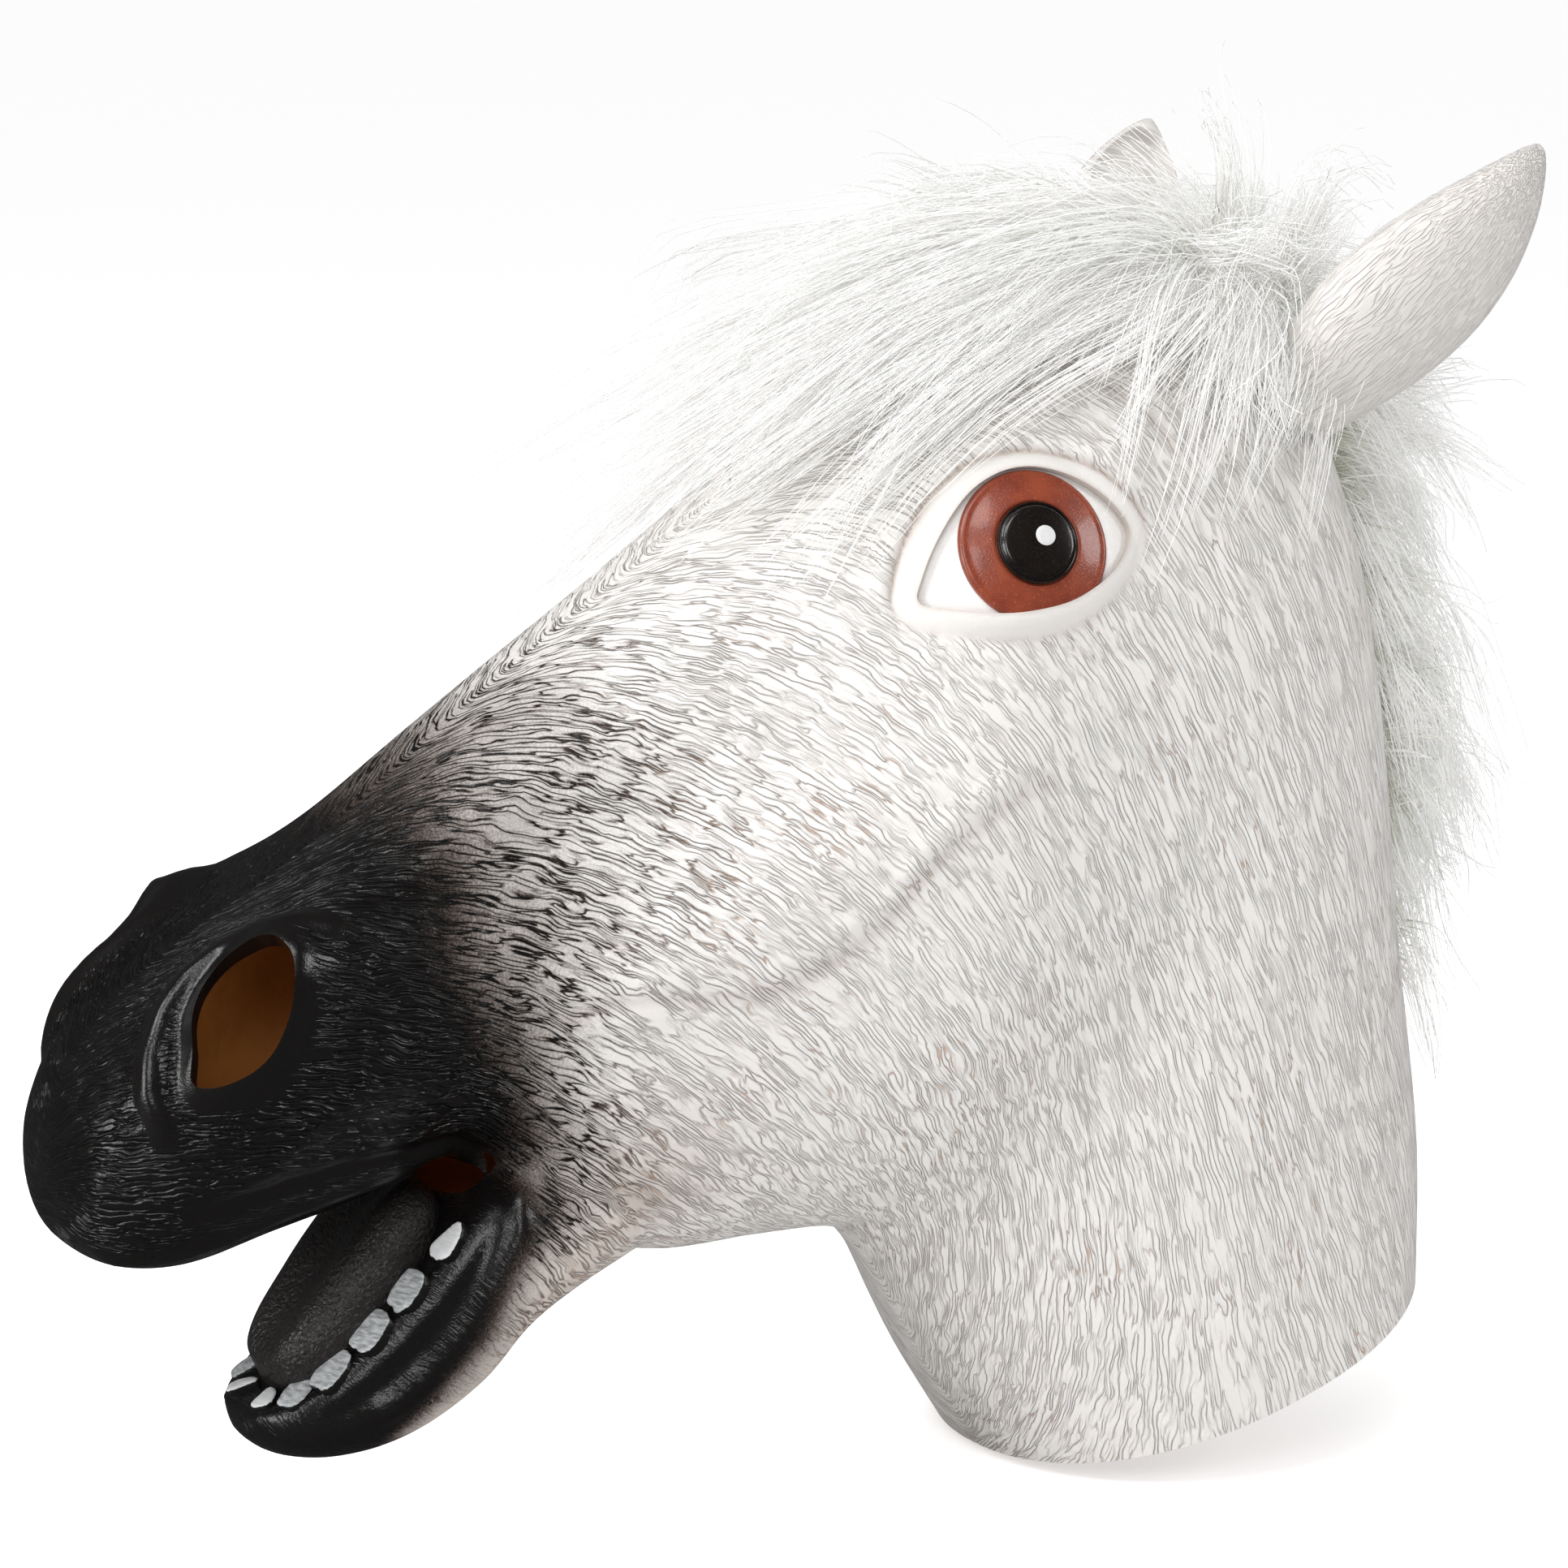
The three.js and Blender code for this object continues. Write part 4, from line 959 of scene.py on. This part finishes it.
ball_front = on_dome((np.linspace(BALL_EDGE, AXIS, 40), 0))
ball = turned("eyeball_left", [(AXIS, BALL_BACK), (BALL_EDGE, BALL_BACK)] + ball_front)
within_lids(ball, 3.0)
iris = turned("iris_disc_left", on_dome(
    (np.linspace(AXIS, 25, 12), -0.6), (25.3, 0.6), (25.2, 1.4), (24.8, 1.9), (24.2, 2.15), (23.6, 2),
    (23, 1.7), (np.linspace(22.2, 14.4, 10), 1.6), (14, 1.3), (13.7, 0.8), (np.linspace(13, AXIS, 8), 0.7),
))
within_lids(iris, 0.7)
pupil = turned("pupil_disc_left", on_dome(
    ((AXIS, 6, 12.9), 0.6), (13.5, 1.0), (13.6, 2.2), (13.3, 2.6), (12.9, 2.55), (12.6, 2.2), (12.3, 2.25),
    (12.0, 2.9), (11.6, 3.15), (np.linspace(11, AXIS, 10), 3.2),
))
# The painted dot of light: its middle on the pupil, and its radii and how far they stand over the ball
GLINT_AT = (2.5, 0.8)
GLINT_PROFILE = [(AXIS, 2.9), (3.2, 2.9), (3.35, 3.25), (3.2, 3.36), (1.6, 3.4), (AXIS, 3.4)]
dot_rings = []
for r, h in GLINT_PROFILE:
    flat = GLINT_AT + r * np.column_stack([np.cos(ring_angles(40)), np.sin(ring_angles(40))])
    out = dome_height(np.hypot(flat[:, 0], flat[:, 1])) + h
    dot_rings.append(from_seat(EYE_SEAT, np.column_stack([flat, out])))
glint = wrap("glint_left", np.stack(dot_rings))
dress_pair(ball, eye_paint, 50, "eye_left")
dress_pair(iris, iris_paint, 50, "iris_left")
dress_pair(pupil, pupil_paint, 50, "pupil_left")
dress_pair(glint, glint_paint, 50)


# Ears
EAR_LENGTH = 107
EAR_WIDTH = 60
EAR_DEPTH = 34
EAR_WALL = 3
EAR_VOXEL = 1.15
# The ear's root is carried on into the head, and ends at this share of its length
EAR_START = -0.12
EAR_AXIS = unit(np.array((0.6, 0.43, 0.67)))
EAR_OPENS = np.array((-0.9, -0.1, 0.2))
EAR_OPENS = unit(EAR_OPENS - EAR_AXIS * (EAR_OPENS @ EAR_AXIS))
EAR_ROOT = np.array((0.352 * HEAD_WIDTH, 0.099 * MASK_LENGTH, -0.075 * MASK_DROP))
EAR_SEAT = (EAR_ROOT, np.cross(EAR_OPENS, EAR_AXIS), EAR_OPENS, EAR_AXIS)
# Share of the length, and the width, depth and lean there as shares of theirs
EAR_SECTIONS = np.array([
    (EAR_START, 0.62, 0.8, 0), (0.08, 0.8, 0.95, 0), (0.25, 0.97, 1, 0.02), (0.45, 1, 0.92, 0.04),
    (0.65, 0.84, 0.72, 0.08), (0.83, 0.54, 0.48, 0.16), (0.95, 0.24, 0.28, 0.26), (1, 0.06, 0.12, 0.32),
])


def ear_values(along):
    """Width, depth and lean of the ear at shares of its length."""
    rows = np.linspace(0, 1, 400)
    at = np.interp(along, sample(EAR_SECTIONS, 0, rows), rows)
    return [sample(EAR_SECTIONS, k, at) for k in (1, 2, 3)]


def ear():
    """A hollowed cone, open towards the midline, and cut to the head at its root."""
    a = ring_angles(64)[None, :]

    def lofted(name, across, opens, along):
        return wrap(name, from_seat(EAR_SEAT, np.stack([across, opens, along * EAR_LENGTH + 0 * a], -1)))

    along = np.linspace(EAR_START, 1, 60)[:, None]
    width, depth, lean = ear_values(along)
    across = width * EAR_WIDTH / 2 * np.cos(a)
    opens = depth * EAR_DEPTH / 2 * np.sin(a) + lean * EAR_DEPTH
    form = lofted("ear_cup_left", across, opens, along)
    along = np.linspace(0.12, 0.94, 40)[:, None]
    width, depth, lean = ear_values(along)
    half = np.maximum(width * EAR_WIDTH / 2 - EAR_WALL, 0.6)
    back = np.maximum(depth * EAR_DEPTH / 2 - EAR_WALL, 0.6)
    bowl = np.where(np.sin(a) > 0, EAR_DEPTH * np.sqrt(np.abs(np.sin(a))), back * np.sin(a))
    hollow = lofted("ear_hollow", half * np.cos(a), bowl + lean * EAR_DEPTH, along)
    cut(form, hollow, wrap("head_form", body_rings(HEAD, 120, 90, -0.8)))
    remesh(form, EAR_VOXEL, 5)
    points, normals = read_points(form), read_normals(form)
    local = in_seat(EAR_SEAT, points)
    share = local[:, 2] / EAR_LENGTH
    width, depth, lean = ear_values(np.clip(share, EAR_START, 1))
    # The hairs draw together towards the tip with the ear's width
    draws = np.column_stack([0.35 + 0.65 * width, 0.35 + 0.65 * depth, np.ones(len(points))])
    write_attribute(form, "ear_lay", local / draws)
    inner = (np.abs(local[:, 0]) < width * EAR_WIDTH / 2 - 0.6) & (normals @ EAR_OPENS > -0.3) & (share > 0.1)
    write_attribute(form, "sleek", inner * smooth_step(share, 0.1, 0.2))
    return form


dress_pair(ear(), ear_latex, 60, "ear_left")


# Tongue
TONGUE_WIDTH = 54
TONGUE_HEIGHT = 34
# Place along the jaw, and the width and height there as shares of theirs
TONGUE_SECTIONS = np.array([
    (0.22, 0.22, 0.3), (0.26, 0.58, 0.6), (0.35, 0.8, 0.82), (0.46, 0.92, 0.95), (0.6, 0.98, 1),
    (0.72, 0.92, 0.92), (0.8, 0.7, 0.65), (0.83, 0.3, 0.3),
])


def tongue():
    """A long form on the jaw's floor, with a groove along its middle and a low fold at each side."""
    rings = []
    a = ring_angles(56)
    for share in np.linspace(0, 1, 50):
        place, wide, high = (float(sample(TONGUE_SECTIONS, k, share)) for k in range(3))
        out = tangents(JAW, place, 0)[2]
        side = wide * TONGUE_WIDTH / 2 * np.sin(a)
        groove = 5 * high * hump(side, 9.5) - 1.2 * high * hump(np.abs(side) - 17 * wide, 4)
        top = high * TONGUE_HEIGHT / 2 * np.sign(np.cos(a)) * np.abs(np.cos(a)) ** 0.8
        up = top - groove * (np.cos(a) > 0)
        middle = skin(JAW, place, 0, TONGUE_HEIGHT * 0.15)
        rings.append(middle + up[:, None] * out + side[:, None] * (1, 0, 0))
    form = wrap("tongue_form", np.stack(rings))
    soften(form, 3)
    return form


dress(tongue(), black_latex, 60, "tongue")

# Teeth on the jaw: at, angle, turn in degrees and size
TOOTH_PLACES = [
    (0.155, 15, 70, 0.72), (0.245, 28, 45, 0.86), (0.365, 33, 22, 1), (0.495, 36, 10, 1),
    (0.625, 37, 4, 0.96), (0.755, 38, 0, 0.9),
]
TOOTH_LENGTH = 15.8
TOOTH_WIDTH = 12.4
TOOTH_HEIGHT = 4
# Outlines in shares of half the size: squared at the front and rounded behind, and the end ones pointed
TOOTH_OUTLINE = rounded([
    (-0.98, -0.6), (-1, 0.1), (-0.86, 0.86), (0, 1), (0.7, 0.9), (1, 0.3), (0.94, -0.5), (0.5, -0.96),
    (-0.4, -1),
], 48)
END_OUTLINE = rounded([
    (-0.95, -0.5), (-0.98, 0.3), (-0.6, 0.75), (0.1, 0.55), (0.85, 0.2), (1.1, -0.1), (0.9, -0.5),
    (0.3, -0.9), (-0.5, -0.95),
], 48)
END_TEETH = (1, 6)
# Share of the outline and of the height, from the root to the middle of the top
TOOTH_PROFILE = [
    (AXIS, -1), (1, -1), (1, 0.2), (0.98, 0.4), (0.94, 0.52), (0.88, 0.6), (0.7, 0.66), (0.4, 0.7),
    (AXIS, 0.71),
]
draw = np.random.default_rng(7)

for number, (at, angle, turn, size) in enumerate(TOOTH_PLACES, 1):
    place = seat(JAW, at, angle)
    flat = size * (END_OUTLINE if number in END_TEETH else TOOTH_OUTLINE)
    ragged = 1 + 0.02 * np.convolve(draw.normal(size=50), (0.5, 1, 0.5), "valid")[:, None]
    t = math.radians(turn)
    turning = np.array([(math.cos(t), math.sin(t)), (-math.sin(t), math.cos(t))])
    rings = []
    for share, height in TOOTH_PROFILE:
        ring = flat * share * (TOOTH_LENGTH / 2, TOOTH_WIDTH / 2) * ragged @ turning
        rings.append(from_seat(place, np.column_stack([ring, np.full(48, height * TOOTH_HEIGHT)])))
    tooth = wrap(f"painted_tooth_left_{number}", np.stack(rings))
    rise = in_seat(place, read_points(tooth))[:, 2] / TOOTH_HEIGHT
    write_attribute(tooth, "painted", smooth_step(rise, 0.4, 0.6))
    write_attribute(tooth, "pale", np.full(len(rise), float(number in END_TEETH)))
    dress_pair(tooth, tooth_paint, 60, f"tooth_left_{number}")


# Fur
FORELOCK_HEIGHT = 58
FORELOCK_STRANDS = 40
MANE_HEIGHT = 40
MANE_STRANDS = 38
STRAND_STEPS = 7
ROOT_WIDTH = 0.62
TIP_WIDTH = 0.2
# How near the skin the strands lie, and how far from it they stand
LOWEST = 0.8
HIGHEST = 62


def mirror_locks(rows):
    return rows + [(a, -b, c, -d, *rest) for a, b, c, d, *rest in rows]


# Locks: from at and angle, to at and angle, height on the way and at the tip as shares, width, tufts
FORELOCK_LEFT = [
    # Down the forehead from the parting
    (0.67, 3, 0.462, 8, 0.42, 0.62, 1, 15), (0.675, 5, 0.466, 19, 0.38, 0.4, 1, 14),
    (0.68, 7, 0.477, 29, 0.33, 0.18, 1, 13), (0.68, 9, 0.507, 37, 0.3, 0.1, 0.8, 10),
    # Shorter, for the fur's body
    (0.65, 4, 0.52, 7, 0.45, 0.8, 1.1, 14), (0.65, 7, 0.525, 20, 0.4, 0.55, 1.1, 13),
    (0.68, 5, 0.61, 13, 0.35, 0.5, 1.2, 13),
    # Over the eye, and the lock behind it
    (0.68, 9, 0.563, 28, 0.33, 0.1, 0.8, 9), (0.69, 11, 0.6, 35, 0.32, 0.08, 0.8, 9),
    (0.695, 12, 0.632, 47, 0.32, 0.1, 0.8, 10), (0.70, 13, 0.652, 59, 0.32, 0.1, 0.6, 11),
    (0.71, 13, 0.672, 60, 0.32, 0.1, 0.6, 10), (0.715, 14, 0.69, 50, 0.32, 0.13, 0.8, 9),
    # Fluff at the parting and before the ear
    (0.70, 6, 0.7, 16, 0.3, 0.55, 1.2, 10), (0.735, 8, 0.755, 19, 0.4, 0.65, 0.9, 8),
]
FORELOCK_MIDDLE = [
    (0.665, 0, 0.466, 0, 0.45, 0.72, 1, 15), (0.65, 0, 0.52, 0, 0.45, 1.0, 1.1, 14),
    (0.65, 0, 0.585, 0, 0.4, 0.75, 1.2, 13),
    # Standing up and back between the ears
    (0.71, 6, 0.70, 7, 0.6, 1.25, 0.9, 12), (0.725, 4, 0.73, 6, 0.6, 1.35, 1, 12),
    (0.735, 2, 0.75, 9, 0.6, 1.2, 1.2, 12), (0.735, -4, 0.755, -6, 0.6, 1.0, 1.2, 10),
]
# The mane's body down the nape and at its sides, and pointed tufts that stand away from it
MANE_BODY = [(at, 0, at + 0.03, 0, 0.6, 0.8, 1.2, 11) for at in (0.752, 0.775, 0.8, 0.825, 0.85)]
MANE_SIDE = [
    (at, angle, at + 0.032, angle + 5, 0.5, 0.6, 1, 9)
    for at, angle in ((0.76, 8), (0.785, 8), (0.81, 8), (0.835, 8), (0.86, 6))
]
MANE_TUFTS = [
    (0.765, 3, 0.80, 6, 0.7, 1.25, 0.4, 8), (0.785, -2, 0.828, -2, 0.7, 1.35, 0.4, 8),
    (0.805, 4, 0.845, 8, 0.7, 1.3, 0.4, 8), (0.825, 0, 0.868, 2, 0.7, 1.4, 0.4, 8),
    (0.85, 4, 0.89, 6, 0.7, 1.25, 0.4, 8), (0.865, -2, 0.912, 0, 0.7, 1.35, 0.4, 9),
]


def lock_strands(row, height, strands):
    """Paths of a lock's strands in mm, and the tone of each: tufts that draw together at their tips."""
    start, start_angle, end, end_angle, lift, tip, width, tufts = row
    f = np.linspace(0, 1, STRAND_STEPS + 1)[None, :]

    def each(spread):
        return draw.normal(0, spread, (tufts, 1))

    s = f * draw.uniform(0.55, 1.06, (tufts, 1))
    at = start + each(0.014) + (end - start + each(0.016)) * s + each(0.007) * np.sin(np.pi * 1.4 * s)
    angle = start_angle + each(5) * width + (end_angle - start_angle + each(8) * width) * s
    angle = angle + each(4) * np.sin(np.pi * s) + each(2.2) * np.sin(2 * np.pi * s)
    layer = draw.uniform(0.05, 1, (tufts, 1)) ** 0.8 + draw.choice([0, 0, 0, 0, 0, 0.3], (tufts, 1))
    rise = np.sin(np.pi / 2 * np.minimum(1, s * 2.4))
    out = 1 + height * (layer * (lift * rise * (1 - s ** 2) + tip * s ** 1.6) + np.abs(each(0.2)) * s ** 2)
    centre = skin(HEAD, at, angle, np.clip(out, LOWEST, HIGHEST))[:, None]
    # Each strand keeps its own place in its tuft, with a wave of its own, and some stray
    one, three = (tufts, strands, 1, 1), (tufts, strands, 1, 3)
    own = draw.normal(size=three) * draw.choice([1, 1, 1, 1, 1.5, 2.3], one)
    g = f[..., None]
    spread = 2.6 + 4.2 * g - draw.uniform(1.5, 6.0, (tufts, 1, 1, 1)) * g ** 2
    wave = draw.uniform(0, 2 * np.pi, one) + draw.uniform(3, 8, one) * g
    paths = centre + own * spread + draw.normal(size=three) * 2.1 * np.sin(wave) * g
    # Shorter strands end sooner along the same path
    keep = draw.uniform(0.5, 1.04, (tufts, strands, 1))
    rows = np.clip(f * keep, 0, 1.04) * STRAND_STEPS
    i = np.minimum(rows.astype(int), STRAND_STEPS - 1)[..., None]
    share = rows[..., None] - i
    low = np.take_along_axis(paths, np.broadcast_to(i, paths.shape), 2)
    high = np.take_along_axis(paths, np.broadcast_to(i + 1, paths.shape), 2)
    tone = np.clip(0.5 + each(0.3) + draw.normal(0, 0.25, (tufts, strands)), 0, 1)
    return (low + (high - low) * share).reshape(-1, STRAND_STEPS + 1, 3), tone.ravel()


def strand_mesh(name, paths, tones):
    """Closed three-sided strands that taper along their paths."""
    count, steps = paths.shape[:2]
    run = unit(np.gradient(paths, axis=1))
    side = unit(np.cross(run, unit(draw.normal(size=(count, 1, 3)))))
    over = np.cross(run, side)
    share = np.linspace(0, 1, steps)[None, :, None]
    taper = ROOT_WIDTH + (TIP_WIDTH - ROOT_WIDTH) * share ** 1.3
    size = draw.uniform(0.75, 1.25, (count, 1, 1)) * taper / 2
    corners = [side * math.cos(t) + over * math.sin(t) for t in ring_angles(3)]
    points = np.stack([paths + corner * size for corner in corners], 2)
    base = (np.arange(count) * steps * 3)[:, None, None]
    ring = (np.arange(steps - 1) * 3)[None, :, None]
    k = np.arange(3)[None, None, :]
    a, b = base + ring + k, base + ring + (k + 1) % 3
    quads = np.stack([a, b, b + 3, a + 3], -1).reshape(-1, 4)
    first = base[:, 0]
    last = first + (steps - 1) * 3
    caps = np.concatenate([first + (0, 2, 1), last + (0, 1, 2)])
    mesh = bpy.data.meshes.new(name)
    mesh.from_pydata(points.reshape(-1, 3) * MM, [], quads.tolist() + caps.tolist(), shade_flat=False)
    obj = bpy.data.objects.new(name, mesh)
    bpy.context.collection.objects.link(obj)
    write_attribute(obj, "along", np.broadcast_to(share, (count, steps, 3)).ravel())
    write_attribute(obj, "tone", np.broadcast_to(tones[:, None, None], (count, steps, 3)).ravel())
    return obj


def fur(name, locks, height, strands, stands_for, pieces):
    """A head of strands, kept as a few pieces of moderate size."""
    for i in range(pieces):
        made = [lock_strands(row, height, strands) for row in locks[i::pieces]]
        paths, tones = (np.concatenate(part) for part in zip(*made))
        piece = strand_mesh(f"{name}_{i + 1}", paths, tones)
        dress(piece, fur_pile, stands_for=stands_for if i == 0 else None)


forelock_locks = FORELOCK_MIDDLE + mirror_locks(FORELOCK_LEFT)
mane_locks = MANE_BODY + mirror_locks(MANE_SIDE) + MANE_TUFTS
fur("forelock_pile", forelock_locks, FORELOCK_HEIGHT, FORELOCK_STRANDS, "forelock", 5)
fur("mane_pile", mane_locks, MANE_HEIGHT, MANE_STRANDS, "mane", 3)


# Stage
FLOOR_Z = -0.402
MASK_MIDDLE = Vector((0, -0.12, -0.162))
LIGHTS_AIM = Vector((0, -0.12, -0.16))
CAMERA_AT = (1.5096, -0.9569, 0.1268)
CAMERA_LENS = 120.8
# How bright the room is as light and where the gloss mirrors it, and the floor's own light to the camera
ROOM_LIGHT = 0.45
ROOM_MIRRORED = 0.06
FLOOR_GLOW = 0.58
# Where each soft light stands, its size and its power in watts
LIGHTS = {
    "key": ((0.1, -1.6, 1.4), 0.9, 18),
    "top": ((0.95, -0.75, 1.5), 0.7, 9),
    "side": ((1.5, -1.3, 0.7), 0.7, 8),
    "front": ((0.0, -2.0, 0.1), 0.8, 12),
    "rear": ((1.3, 1.7, 0.8), 0.8, 13),
}


# A pale matt floor, white in the picture and dark where the gloss mirrors it
def floor_paint(add):
    lit = add("MapRange", (add("LightPath", out="Is Camera Ray"), 0.0, 1.0, 0.0, FLOOR_GLOW))
    tint = add("Mix", {"Factor": add("LightPath", out="Is Glossy Ray"), 6: "#fafafa", 7: "#3c3c3c"}, **COLOUR)
    return {"Base Color": tint, "Roughness": 0.9, "Emission Color": "#ffffff", "Emission Strength": lit}


def aim(item, at):
    item.rotation_euler = (at - item.location).to_track_quat("-Z", "Y").to_euler()


bpy.ops.mesh.primitive_plane_add(size=60, location=(0, 0, FLOOR_Z))
floor = bpy.context.object
floor.name = "floor"
paint(floor, material("pale_matt_floor", floor_paint))

for name, (place, size, power) in LIGHTS.items():
    bpy.ops.object.light_add(type="AREA", location=place)
    lamp = bpy.context.object
    lamp.name = name
    lamp.data.size = size
    lamp.data.energy = power
    aim(lamp, LIGHTS_AIM)

# The room lights the mask softly, is darker in its reflections, and white behind it
world = bpy.data.worlds.new("studio")
bpy.context.scene.world = world
world.use_nodes = True
world.node_tree.nodes.clear()
add = partial(node, world.node_tree)
glossy = add("MapRange", (add("LightPath", out="Is Glossy Ray"), 0.0, 1.0, ROOM_LIGHT, ROOM_MIRRORED))
seen = add("Mix", {"Factor": add("LightPath", out="Is Camera Ray"), 2: glossy, 3: 1.0})
add("OutputWorld", {"Surface": add("Background", {"Strength": seen, "Color": "#ffffff"})})

# The camera stands 61 degrees round from the front and 9.5 degrees up, 1.75 m away
bpy.ops.object.camera_add(location=CAMERA_AT)
camera = bpy.context.object
aim(camera, MASK_MIDDLE)
camera.data.sensor_width = 36
camera.data.lens = CAMERA_LENS
bpy.context.scene.camera = camera
bpy.context.scene.view_settings.view_transform = "Standard"
